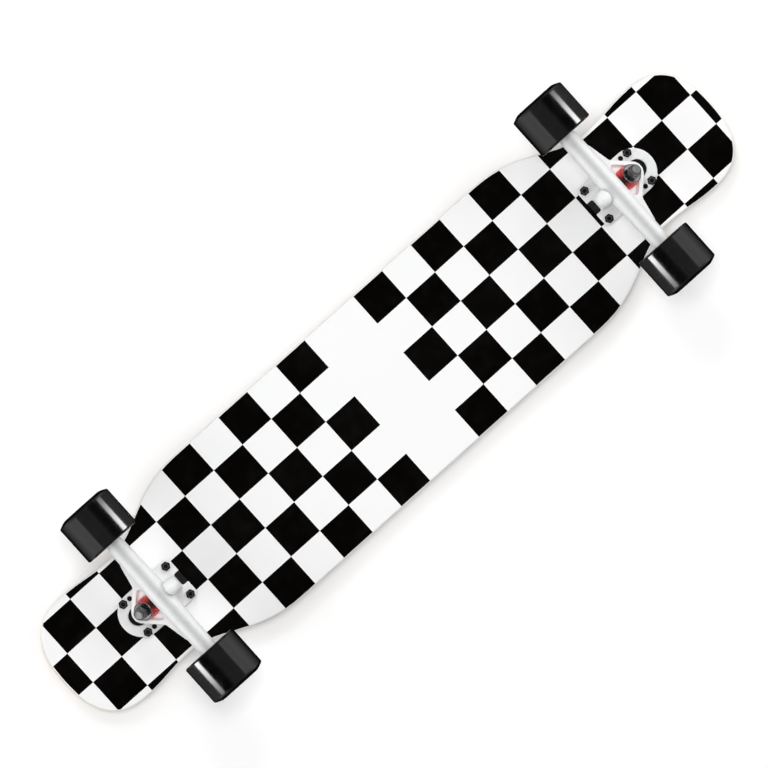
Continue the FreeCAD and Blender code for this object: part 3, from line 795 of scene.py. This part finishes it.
# %% Draw the plies
MAPLE_PALE = (0.70, 0.47, 0.25, 1)
MAPLE_WARM = (0.47, 0.265, 0.115, 1)
GLUE_BROWN = (0.16, 0.08, 0.03, 1)
FIBRE_STRETCH = (60.0, 900.0, 2600.0)
FIBRE_DETAIL = 4.0
FIBRE_SHARE = 0.6
FIGURE_STRETCH = (9.0, 70.0, 300.0)
FIGURE_DETAIL = 3.0
FIGURE_SHARE = 0.5
WOOD_RANGE = (0.3, 0.85)
CROSSED_SHARE = 0.55
GLUE_RANGE = (0.43, 0.49)
GLUE_SHARE = 0.85
ply = 1.4 * MM
print("plies of", round(ply / MM, 1), "mm")


def maple(place, height):
    """Maple plies: the ply's number decides between two tones, stretched noise draws the grain, and
    the glue line is where the height is close to a whole number of plies."""
    count = reckon("DIVIDE", height, ply)
    crossed = even(reckon("FLOOR", count))
    fibre = noise(stretched(place, FIBRE_STRETCH), 1.0, FIBRE_DETAIL)
    figure = noise(stretched(place, FIGURE_STRETCH), 1.0, FIGURE_DETAIL)
    tone = plus(times(fibre, FIBRE_SHARE), times(figure, FIGURE_SHARE))
    shade = plus(ramp(tone, *WOOD_RANGE), times(crossed, CROSSED_SHARE))
    wood = mixed(reckon("MINIMUM", shade, 1.0), MAPLE_PALE, MAPLE_WARM)
    off = reckon("ABSOLUTE", less(reckon("FRACT", count), 0.5))
    glue = times(ramp(off, *GLUE_RANGE), GLUE_SHARE)
    return mixed(glue, wood, GLUE_BROWN), fibre


# %% [markdown]
# Below, the deck has bright white paint and deep black ink. The paint runs a little way up the rounded
# rim, and the ink stops at the flat face. Two materials could meet there, but only along the edges of
# faces. One material that mixes by height draws both lines as sharp as a print.

# %% Finish the deck
PAINT_WHITE = (0.93, 0.935, 0.93, 1)
PAINT_SHADE = (0.88, 0.89, 0.89, 1)
PAINT_DRIFT = 0.1
PAINT_ROUGH = (0.34, 0.44)
MAPLE_ROUGHER = 0.12
INK_BLACK = (0.0016, 0.0011, 0.0009, 1)
INK_DUST = (0.3, 0.3, 0.3, 1)
print_edge = 0.32 * MM
paint_height = 2.3 * MM
paint_fade = 0.15 * MM
paint_relief = 0.04 * MM


def finish_deck():
    """Paint and ink where the height is nearly zero, white paint over the rounded lower rim, and bare
    maple above it."""
    finish, tree, shader = new_finish("deck_maple", {"Specular IOR Level": 0.12})
    place = place_on(tree)
    along, across, up = split(place)
    height = ply_height(along, up)
    wood, fibre = maple(place, height)
    printed = reckon("LESS_THAN", height, print_edge)
    ink = times(black_checks(along, across), printed)
    grain = effect(grain_group, place=place, fine_scale=420.0, broad_scale=9.0)
    dust = effect(dust_group, place=place, scale=70.0, amount=0.012)
    white = mixed(times(grain["Tone"], PAINT_DRIFT), PAINT_WHITE, PAINT_SHADE)
    print_colour = mixed(ink, white, INK_BLACK)
    dusty = mixed(times(dust["Mask"], ink), print_colour, INK_DUST)
    bare = ramp(height, paint_height, paint_height + paint_fade)
    rough = plus(ramp(grain["Tone"], 0.0, 1.0, *PAINT_ROUGH), times(bare, MAPLE_ROUGHER))
    relief = plus(grain["Height"], times(fibre, bare))
    wire(shader, mixed(bare, dusty, wood), rough, relief, paint_relief)
    return finish


dress(finish_deck(), "deck")

# %% [markdown]
# Grip tape is sandpaper: black grains of grit, about half a millimetre each, stuck to the deck's top.
# Real grains would take millions of faces. A Voronoi texture is a field of such grains: each cell has
# its own random brightness, so a few grains catch the light, and the distance to a cell's middle raises
# it as a small hill.

# %% Finish the grip tape
GRIT_BLACK = (0.013, 0.013, 0.014, 1)
GRIT_BRIGHT = (0.085, 0.085, 0.09, 1)
GRIT_WORN = (0.03, 0.03, 0.031, 1)
WORN_SHARE = 0.3
SHINE_RANGE = (0.55, 1.0)
GRIT_ROUGH = (0.92, 0.55)
ROAD_DUST = (0.2, 0.19, 0.18, 1)
grit_per_metre = 1900.0
grit_relief = 0.3 * MM


def finish_grip_tape():
    """Grit: cells of half a millimetre with random brightness, raised towards each cell's middle."""
    finish, tree, shader = new_finish("grip_tape_grit", {"Specular IOR Level": 0.3})
    place = place_on(tree)
    cells = tree.nodes.new("ShaderNodeTexVoronoi")
    feed(cells.inputs["Vector"], place)
    feed(cells.inputs["Scale"], grit_per_metre)
    shine = split(cells.outputs["Color"])[0]
    grain = effect(grain_group, place=place, fine_scale=900.0, broad_scale=14.0)
    dust = effect(dust_group, place=place, scale=22.0, amount=0.16)
    grit = mixed(ramp(shine, *SHINE_RANGE), GRIT_BLACK, GRIT_BRIGHT)
    toned = mixed(times(grain["Tone"], WORN_SHARE), grit, GRIT_WORN)
    colour = mixed(dust["Mask"], toned, ROAD_DUST)
    hill = less(1.0, cells.outputs["Distance"])
    wire(shader, colour, ramp(shine, 0.0, 1.0, *GRIT_ROUGH), hill, grit_relief)
    return finish


dress(finish_grip_tape(), "grip_tape")

# %% [markdown]
# Baseplates and hangers are cast metal with a white powder coat. The powder melts into a skin that is
# never quite flat, like the peel of an orange. Faces that fine would be a waste, so a soft bump is laid
# under a satin gloss. Along the belly of the axle tube a soft grey band of painted shade darkens the
# white, and specks of road dust grey it here and there.

# %% Finish the trucks
POWDER_WHITE = (0.93, 0.935, 0.935, 1)
POWDER_SHADE = (0.885, 0.893, 0.895, 1)
POWDER_GLOSS = {"Coat Weight": 0.15, "Coat Roughness": 0.3}
POWDER_ROUGH = (0.36, 0.46)
# One grey for both the painted shade along the tube's belly and the specks of road dust.
BELLY_SHADE_AND_DUST_GREY = (0.47, 0.475, 0.48, 1)
BELLY_SHADE_SHARE = 0.75
belly_shade_half = 7.5 * MM
belly_shade_depth = 6 * MM
powder_relief = 0.06 * MM


def finish_truck():
    """White powder: orange peel in the bump, a slow drift of tone, specks of dust, and a grey band of
    painted shade along the belly, which is where a point is close to the axle's line in plan and lies
    well below it."""
    finish, tree, shader = new_finish("white_powder_coat", POWDER_GLOSS)
    place = place_on(tree)
    along, _, up = split(place)
    grain = effect(grain_group, place=place, fine_scale=650.0, broad_scale=45.0)
    dust = effect(dust_group, place=place, scale=160.0, amount=0.22)
    # Painted shade: a grey band where a point is close to the axle's line in plan and well below it.
    from_axle = reckon("ABSOLUTE", less(reckon("ABSOLUTE", along), axle_x))
    below = ramp(less(axle_z, up), belly_shade_depth / 2, belly_shade_depth * 1.5)
    near = ramp(from_axle, 0.0, belly_shade_half, BELLY_SHADE_SHARE, 0.0)
    shade_and_dust = reckon("MINIMUM", plus(times(near, below), dust["Mask"]), 1.0)
    white = mixed(grain["Tone"], POWDER_WHITE, POWDER_SHADE)
    rough = ramp(grain["Tone"], 0.0, 1.0, *POWDER_ROUGH)
    wire(shader, mixed(shade_and_dust, white, BELLY_SHADE_AND_DUST_GREY), rough, grain["Height"], powder_relief)
    return finish


coat(finish_truck(), *castings.values())

# %% [markdown]
# Everything else on the board has a plain skin: cast, plated, blackened or moulded. Each kind could be
# a tree of its own, but they differ only in their numbers. So one recipe makes them all: two tones and
# a gloss that drift with the grain, a fine relief, and dust that tints the skin, dulls it, or both.


# %% Write a recipe for plain skins
def finish_skin(name, tones, rough, fine, relief, plain, broad, dust, tint=None, dulled=False, shade_flank=None):
    """Tones and roughness go from their first value to their second with the grain's drift. With a shade
    flank, the tones go instead with the distance from the middle line, from its first length to its
    second, which paints a shade along that line. Grain has a fine and a broad scale in waves per metre,
    and dust has its scale and its amount."""
    finish, tree, shader = new_finish(name, plain)
    place = place_on(tree)
    grain = effect(grain_group, place=place, fine_scale=fine, broad_scale=broad)
    mask = effect(dust_group, place=place, scale=dust[0], amount=dust[1])["Mask"]
    share = grain["Tone"]
    # A shade flank paints shade: the first tone along the middle line, the second past the flank's far
    # length.
    if shade_flank:
        share = ramp(reckon("ABSOLUTE", split(place)[1]), *shade_flank)
    colour = mixed(share, *tones)
    if tint:
        colour = mixed(mask, colour, tint)
    gloss = ramp(grain["Tone"], 0.0, 1.0, *rough)
    if dulled:
        gloss = plus(gloss, mask)
    wire(shader, colour, gloss, grain["Height"], relief)
    return finish


print("plain skins share", grain_group.name, "and", dust_group.name)

# %% [markdown]
# Urethane is cast, so its skin is smooth and a little wet looking. The tyres are black and glossy with
# the faintest drift in roughness. The bushings are red, with painted shade in the middle: deep red along
# the middle line and bright red at both flanks, the tone going by the distance from that line. The
# bushings are clear red: deep in the middle, where the light has the most urethane to pass, and bright
# at both flanks. Light that really passes through would be slow and grainy, so the tone is painted by
# the distance from the middle line.

# %% Finish the urethane
URETHANE = {
    "plain": {"Specular IOR Level": 0.5},
    "broad": 60.0,
    "dust": (260.0, 0.02),
    "tint": (0.25, 0.24, 0.23, 1),
    "dulled": True,
}
BLACK = ((0.002, 0.002, 0.002, 1), (0.003, 0.003, 0.003, 1))
# The deep red is painted shade in the bushing's middle, the bright red its own colour at the flanks.
RED_SHADE_AND_BASE = ((0.04, 0.001, 0.0015, 1), (0.66, 0.02, 0.02, 1))
red_shade_flank = (2.5 * MM, 9.5 * MM)
# After the name: two tones, two roughnesses, the grain in waves per metre, and its relief.
tyre_finish = finish_skin("black_urethane", BLACK, (0.13, 0.17), 260.0, 0.01 * MM, **URETHANE)
bushing_finish = finish_skin(
    "red_urethane", RED_SHADE_AND_BASE, (0.14, 0.18), 500.0, 0.02 * MM, shade_flank=red_shade_flank, **URETHANE
)
coat(tyre_finish, *tyres.values())
coat(bushing_finish, *bushings.values())

# %% [markdown]
# The hardware is steel. Axles, kingpins and axle nuts are zinc plated: bright metal with a fine drawn
# texture. Kingpin nuts and road washers have darker plates, and bearing steel is ground bright. Bolts
# and board washers are blackened. That is an oiled skin, nearly as dark as the tyres, with a satin
# sheen, so it isn't treated as metal here.

# %% Finish the metal
METAL = {"plain": {"Metallic": 1.0}, "broad": 150.0, "dust": (200.0, 0.2), "dulled": True}
OXIDE = {"plain": {"Specular IOR Level": 0.22}, "broad": 180.0, "dust": (240.0, 0.06), "tint": ROAD_DUST}
ZINC = ((0.62, 0.62, 0.61, 1), (0.50, 0.50, 0.50, 1))
BEARING = ((0.70, 0.70, 0.71, 1), (0.62, 0.62, 0.63, 1))
DARK_ZINC = ((0.36, 0.36, 0.37, 1), (0.22, 0.22, 0.23, 1))
NICKEL = ((0.46, 0.46, 0.47, 1), (0.36, 0.36, 0.37, 1))
BLACKENED = ((0.003, 0.003, 0.0033, 1), (0.006, 0.006, 0.0064, 1))
metal_relief = 0.02 * MM
oxide_relief = 0.03 * MM
zinc = finish_skin("zinc_plate", ZINC, (0.26, 0.36), 1600.0, metal_relief, **METAL)
bearing_steel = finish_skin("bearing_steel", BEARING, (0.14, 0.24), 2400.0, metal_relief, **METAL)
dark_zinc = finish_skin("dark_zinc_plate", DARK_ZINC, (0.2, 0.3), 1600.0, metal_relief, **METAL)
black_nickel = finish_skin("black_nickel", NICKEL, (0.18, 0.28), 1600.0, metal_relief, **METAL)
black_oxide = finish_skin("black_oxide", BLACKENED, (0.28, 0.42), 1400.0, oxide_relief, **OXIDE)
dress(zinc, "kingpins")
dress(dark_zinc, "kingpin_nuts")
coat(black_nickel, *washers.values())
coat(zinc, kingpin_threads, *axle_threads.values())
dress(black_oxide, "mounting_bolts", "mounting_nuts")
coat(black_oxide, bolt_threads)
for end in ENDS:
    dress(zinc, end + "_axle", end + "_axle_nuts", end + "_speed_rings")
    dress(bearing_steel, end + "_bearing_inner_rings", end + "_bearing_spacers")
    dress(black_oxide, end + "_board_washer")
for wheel in WHEELS:
    dress(bearing_steel, wheel + "_bearing_outer_rings", wheel + "_bearing_balls")

# %% [markdown]
# What is left is moulded: rubber riser pads, urethane pivot cups, wheel cores, bearing shields, cages
# and the nylon rings that lock the nuts. A mould leaves the same kind of fine matt skin on all of them,
# so a table of tones and grains is enough.

# %% Finish the moulded pieces
MOULDED = {
    "plain": {"Specular IOR Level": 0.4},
    "broad": 110.0,
    "dust": (170.0, 0.15),
    "tint": (0.22, 0.21, 0.2, 1),
}
# Each row: two tones, two roughnesses, the grain in waves per metre, and its relief.
MOULDS = {
    "pad_rubber": (((0.006, 0.006, 0.006, 1), (0.012, 0.012, 0.012, 1)), (0.6, 0.72), 900.0, 0.1 * MM),
    "cup_urethane": (((0.012, 0.012, 0.013, 1), (0.02, 0.02, 0.02, 1)), (0.4, 0.52), 700.0, 0.05 * MM),
    "core_plastic": (((0.02, 0.02, 0.021, 1), (0.032, 0.032, 0.033, 1)), (0.38, 0.5), 800.0, 0.05 * MM),
    "shield_rubber": (((0.015, 0.015, 0.016, 1), (0.024, 0.024, 0.025, 1)), (0.45, 0.57), 1500.0, 0.04 * MM),
    "nylon_ring": (((0.06, 0.06, 0.065, 1), (0.09, 0.09, 0.095, 1)), (0.4, 0.52), 1200.0, 0.04 * MM),
}
rubber, cup_skin, core_skin, shield_skin, nylon = [
    finish_skin(name, *row, **MOULDED) for name, row in MOULDS.items()
]
dress(nylon, "mounting_nut_inserts", "kingpin_nut_inserts")
for end in ENDS:
    dress(rubber, end + "_riser_pad")
    dress(cup_skin, end + "_pivot_cup")
    dress(nylon, end + "_axle_nut_inserts")
for wheel in WHEELS:
    dress(core_skin, wheel + "_wheel_core")
    dress(shield_skin, wheel + "_bearing_shields")
    dress(nylon, wheel + "_bearing_cages")
print("finishes:", len(bpy.data.materials))

# %% [markdown]
# The studio. The picture looks straight up at the underside, so the pale surface behind the board is
# a sheet just above it, and for views from the sides there is a floor under the wheels. One bent sheet
# would hide the board from one side. So there are two, and each shows only its own face: seen from the
# back it is clear. Their paper is pale grey, and a little light of its own lifts it for rays that look
# at it, so that it is nearly white and still shows the board's soft shadow.

# %% Make the paper
scene = bpy.context.scene
scene.view_settings.view_transform = "Standard"
PAPER = {
    "Base Color": (0.80, 0.80, 0.80, 1),
    "Roughness": 1.0,
    "Specular IOR Level": 0.0,
    "Emission Color": (1, 1, 1, 1),
}
FLOOR_LIFT = 0.08
BACKDROP_LIFT = 0.24


def looking(tree):
    """1 for rays that look, from the camera, off a gloss or through something clear, and else 0."""
    rays = tree.nodes.new("ShaderNodeLightPath").outputs
    seen = reckon("MAXIMUM", rays["Is Camera Ray"], rays["Is Glossy Ray"])
    return reckon("MAXIMUM", seen, rays["Is Transmission Ray"])


def finish_sheet(name, lift):
    """Pale paper: diffuse, with a small lift of its own light for the rays that look straight at it,
    and clear from behind."""
    finish, tree, shader = new_finish(name, PAPER)
    feed(shader.inputs["Emission Strength"], times(looking(tree), lift))
    clear = tree.nodes.new("ShaderNodeBsdfTransparent")
    either = tree.nodes.new("ShaderNodeMixShader")
    feed(either.inputs[0], tree.nodes.new("ShaderNodeNewGeometry").outputs["Backfacing"])
    feed(either.inputs[1], shader.outputs[0])
    feed(either.inputs[2], clear.outputs[0])
    feed(tree.nodes["Material Output"].inputs["Surface"], either.outputs[0])
    return finish


floor_paper = finish_sheet("floor_paper", FLOOR_LIFT)
backdrop_paper = finish_sheet("backdrop_paper", BACKDROP_LIFT)
print("papers:", floor_paper.name, backdrop_paper.name)

# %% [markdown]
# A sheet is one square face. It could be a Plane, but its corners written out show which way it
# faces: counted one way round it faces up, and the other way round it faces down. It throws no shadow
# and no light, so that neither sheet changes the light on the board.

# %% Lay the floor and the backdrop
FACING_UP = 1
FACING_DOWN = -1
sheet_half = 14.0
backdrop_gap = 1.5 * MM


def sheet(name, height, facing, finish):
    """A flat square: its four corners go round one way or the other, so that it faces up or down."""
    corners = np.array([(-1, -1, 0), (1, -1, 0), (1, 1, 0), (-1, 1, 0)]) * sheet_half
    corners[:, 2] = height
    mesh = bpy.data.meshes.new(name)
    mesh.from_pydata(corners[::facing].tolist(), [], [(0, 1, 2, 3)])
    piece = in_scene(name, mesh)
    coat(finish, piece)
    piece.visible_shadow = False
    piece.visible_diffuse = False
    piece.visible_glossy = False


sheet("floor", 0.0, FACING_UP, floor_paper)
backdrop_height = cad_box[1][2] + backdrop_gap
sheet("backdrop", backdrop_height, FACING_DOWN, backdrop_paper)
print("backdrop at", round(backdrop_height / MM, 1), "mm")

# %% [markdown]
# Light. One lamp looks straight up at the board from beside the camera, two wide ones graze it from
# nose and tail so that round metal is not dark at its sides, and one stands off to the side, so that
# the board throws a soft shadow on the sheet behind it. Two more light the top for other views. A sun
# could do as much with hard shadows, but wide square lamps give the soft ones of a studio.

# %% Hang the lamps
# Each row: place in metres, size, and the brightness on a white surface.
LAMPS = {
    "under_front": ((0.2, -0.4, -4.5), 1.4, 0.375),
    "under_nose": ((3.2, 0.2, -1.5), 2.2, 0.44),
    "under_tail": ((-3.2, -0.2, -1.5), 2.2, 0.47),
    "under_side": ((1.2, -2.2, -2.4), 1.1, 0.22),
    "over_key": ((-1.2, -1.2, 3.4), 2.4, 0.45),
    "over_fill": ((1.6, 1.4, 3.0), 3.0, 0.25),
}


def lamp(name, place, size, level):
    """A square lamp that looks at the board's middle: its -Z axis points from its place to there. The
    level is the brightness it gives to a white surface that faces it, so its power is that level
    times the square of pi and of the distance."""
    light = bpy.data.lights.new(name, "AREA")
    light.size = size
    light.energy = level * (math.pi * np.linalg.norm(place)) ** 2
    holder = in_scene(name, light)
    back = unit(np.array(place, dtype=float))
    aside = unit(np.cross((0.0, 1.0, 0.0), back))
    holder.matrix_world = Matrix.Translation(place) @ Matrix(
        np.stack([aside, np.cross(back, aside), back], axis=1).tolist()
    ).to_4x4()
    holder.visible_camera = False
    holder.visible_glossy = False
    print("lamp", name, round(light.energy, 1), "W")
    return holder


for name, row in LAMPS.items():
    lamp(name, *row)

# %% [markdown]
# The lamps above don't show in reflections, so bright metal would look dull. Three small lamps make the
# glints on kingpins, their nuts and the washers. They could glare on the tyres and the white paint, so
# light linking keeps them to a collection of the shiny hardware.

# %% Add the glints
GLINTS = {
    "under_glint": ((0.0, 0.0, -3.0), 1.0, 0.16),
    "nose_glint": ((2.7, 0.0, -1.3), 0.8, 0.024),
    "tail_glint": ((-2.7, 0.0, -1.3), 0.8, 0.024),
}
shiny = bpy.data.collections.new("shiny_hardware")
shiny_solids = [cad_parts[node] for node in ("kingpins", "kingpin_nuts")]
for piece in (*shiny_solids, kingpin_threads, *washers.values()):
    shiny.objects.link(piece)
for name, row in GLINTS.items():
    glint = lamp(name, *row)
    glint.visible_glossy = True
    glint.light_linking.receiver_collection = shiny

# %% [markdown]
# Black gloss has hardly a colour of its own, and shows what stands around it. One studio card for the
# whole board would sit wrongly for three tyres of four. So each tyre gets a small tent to mirror, as
# in a photographer's studio: a curved card with one narrow bright strip, a broad dim panel on the other
# side and darkness between. The light is painted on the card by the angle about the axle.

# %% Plan the light in a tent
# Angles in degrees from straight down: where a band starts, is full from and to, and ends.
STREAK = (57, 59.5, 77, 79)
STREAK_LEVEL = 24.0
STREAK_FADE = 0.1
PANELS = {
    "beyond": ((74, 82, 88, 140), 0.36),
    "broad": ((-126, -74, -41, -37), 1.15),
    "middle": ((-54, -40, 8, 22), 0.24),
}
print("bands of light in a tent:", 1 + len(PANELS))


def band(angle, degrees):
    """A band of light from four angles: it rises from 0 at the first to 1 at the second, stays there up
    to the third, and falls to 0 at the fourth."""
    first, second, third, fourth = np.radians(degrees).tolist()
    rise = ramp(angle, first, second)
    fall = ramp(angle, third, fourth, 1.0, 0.0)
    return times(rise, fall)


def finish_tent(name, centre_x, way, inner_edge, outer_edge):
    """Light by angle about the axle, counted from straight down towards the streak's side. The streak
    fades along the tyre, from the edge that faces the board to the outer edge."""
    finish = bpy.data.materials.new(name + "_glow")
    finish.use_nodes = True
    finish.cycles.emission_sampling = "NONE"
    tree = finish.node_tree
    tree.nodes.remove(tree.nodes["Principled BSDF"])
    glow = tree.nodes.new("ShaderNodeEmission")
    along, across, up = split(place_on(tree))
    aside = times(less(along, centre_x), way)
    angle = reckon("ARCTAN2", aside, less(axle_z, up))
    fade = ramp(reckon("ABSOLUTE", across), inner_edge, outer_edge, 1.0, STREAK_FADE)
    streak = times(band(angle, STREAK), fade)
    level = times(streak, STREAK_LEVEL)
    for degrees, strength in PANELS.values():
        level = plus(level, times(band(angle, degrees), strength))
    feed(glow.inputs["Strength"], level)
    feed(tree.nodes["Material Output"].inputs["Surface"], glow.outputs[0])
    return finish


# %% [markdown]
# The tent's card is bent round its wheel, up to just under the deck on both sides. Two dark squares
# stand in it. A flag below the tyre hides the strip from flat reflections, where gloss is strongest and
# the strip would glare. A roof beside the outer face hides the white sky from it. The card alone can't
# do either: without its strip the tyre would be plain black, and the sky lies past the card's edge.

# %% Sizes of a tent
TENT_REACH = 0.3
TENT_END = 172
tent_inner = 30 * MM
tent_outer = 210 * MM
tent_steps = 60
tent_gap = 6 * MM
flag_aside = 30 * MM
flag_top = -5.4 * MM
flag_foot = -60 * MM
roof_half = 60 * MM
roof_gap = 4 * MM
roof_outer = 480 * MM
roof_height = underside - tent_gap
print("tent roof at", round(roof_height / MM, 1), "mm")


# %% Shape the card, the flag and the roof
def tent_card(centre, across):
    """A card bent round one wheel: at each angle from straight down its point lies at the reach times
    the sine to the side and the cosine downwards, but no higher than just under the deck, and it runs
    straight across the tyre."""
    turn = np.radians(np.linspace(-TENT_END, TENT_END, tent_steps))[:, None]
    points = (
        centre[0] + TENT_REACH * np.sin(turn) + 0 * across,
        across + 0 * turn,
        np.minimum(centre[2] - TENT_REACH * np.cos(turn), roof_height) + 0 * across,
    )
    faces = grid_faces(tent_steps, 2).reshape(tent_steps, 2, 4)[:-1, :-1].reshape(-1, 4)
    return np.stack(points, axis=-1).reshape(-1, 3), faces


def tent_squares(centre, side, near, far):
    """The flag's four corners, upright and a little to the streak's side, and then the roof's four,
    level with the card's ends, from just past the tyre's outer face outwards."""
    flag_x = centre[0] - side * flag_aside
    roof_near = side * (abs(centre[1]) + crown_half + roof_gap)
    return [
        (flag_x, near, flag_foot),
        (flag_x, near, flag_top),
        (flag_x, far, flag_top),
        (flag_x, far, flag_foot),
        (centre[0] - roof_half, roof_near, roof_height),
        (centre[0] + roof_half, roof_near, roof_height),
        (centre[0] + roof_half, side * roof_outer, roof_height),
        (centre[0] - roof_half, side * roof_outer, roof_height),
    ]


print("a card has", tent_steps - 1, "faces")

# %% [markdown]
# A tent could be three objects. One mesh is simpler to light, because light linking works on whole
# objects: it names the only tyre that this tent lights.


# %% Pitch the tents
def tent(wheel):
    """One mesh of card, flag and roof, seen by its own tyre alone and only in reflections."""
    low, high = corners_of(wheel + "_wheel")
    centre = (low + high) / 2
    side = math.copysign(1, centre[1])
    across = side * np.array([[tent_inner, tent_outer]])
    points, faces = tent_card(centre, across)
    squares = tent_squares(centre, side, *across[0])
    square_faces = len(points) + np.arange(8).reshape(2, 4)
    mesh = bpy.data.meshes.new(wheel + "_tent")
    mesh.from_pydata(
        np.vstack([points, squares]).tolist(), [], np.vstack([faces, square_faces]).tolist()
    )
    card = in_scene(wheel + "_tent", mesh)
    inner_edge, outer_edge = sorted(np.abs((low[1], high[1])))
    coat(finish_tent(card.name, centre[0], -side, inner_edge, outer_edge), card)
    lit = bpy.data.collections.new(wheel + "_mirrors")
    lit.objects.link(tyres[wheel])
    card.light_linking.receiver_collection = lit
    card.visible_camera = False
    card.visible_diffuse = False
    card.visible_shadow = False


for wheel in WHEELS:
    tent(wheel)

# %% [markdown]
# The world is what rays meet past the sheets: white above the horizon, where views from the side look
# out, and dim below it, so that black ink and black tyres stay black. A plain white world would grey
# them. The part of it that lights the board is kept at a level of its own.

# %% Make the world
SKY_SEEN = 1.0
SKY_LIGHT = 0.4
GROUND_SEEN = 0.2
GROUND_LIGHT = 0.22
HORIZON = 0.02


def studio_world():
    """Direction up or down decides: above, rays that look see white and the rest the sky's light;
    below, rays that look see the dim ground and the rest the ground's light."""
    world = bpy.data.worlds.new("studio")
    world.use_nodes = True
    tree = world.node_tree
    up = split(tree.nodes.new("ShaderNodeTexCoord").outputs["Generated"])[2]
    above = ramp(up, -HORIZON, HORIZON)
    looks = looking(tree)
    sky = ramp(looks, 0.0, 1.0, SKY_LIGHT, SKY_SEEN)
    ground = ramp(looks, 0.0, 1.0, GROUND_LIGHT, GROUND_SEEN)
    feed(tree.nodes["Background"].inputs["Strength"], ramp(above, 0.0, 1.0, ground, sky))
    tree.nodes["Background"].inputs["Color"].default_value = (1, 1, 1, 1)
    return world


scene.world = studio_world()
print("world lights with", SKY_LIGHT, "from above and", GROUND_LIGHT, "from below")

# %% [markdown]
# The camera stands far below the board with a long lens, which keeps the deck's edges as straight as
# in a drawing. An orthographic camera would too, but a real picture has a little perspective. The
# picture's right and up are turned with the board's own direction, and the frame is as wide as the
# picture is at the deck's underside.

# %% Point the camera
CLIP_REACH = 4
lens = 900.0
sensor = 36.0
frame_width = 854 * MM
picture_turn = math.radians(41.875)
aim = (3.4 * MM, -9.6 * MM)
right = np.array([math.cos(picture_turn), math.sin(picture_turn), 0])
upward = np.array([math.sin(picture_turn), -math.cos(picture_turn), 0])
distance = frame_width * lens / sensor
camera_data = bpy.data.cameras.new("camera")
camera_data.lens = lens
camera_data.sensor_width = sensor
camera_data.clip_end = CLIP_REACH * distance
camera = in_scene("camera", camera_data)
turn = Matrix(np.stack([right, upward, np.cross(right, upward)], axis=1).tolist()).to_4x4()
camera.matrix_world = Matrix.Translation((*aim, underside - distance)) @ turn
scene.camera = camera
print("camera", round(distance, 2), "m below the deck")
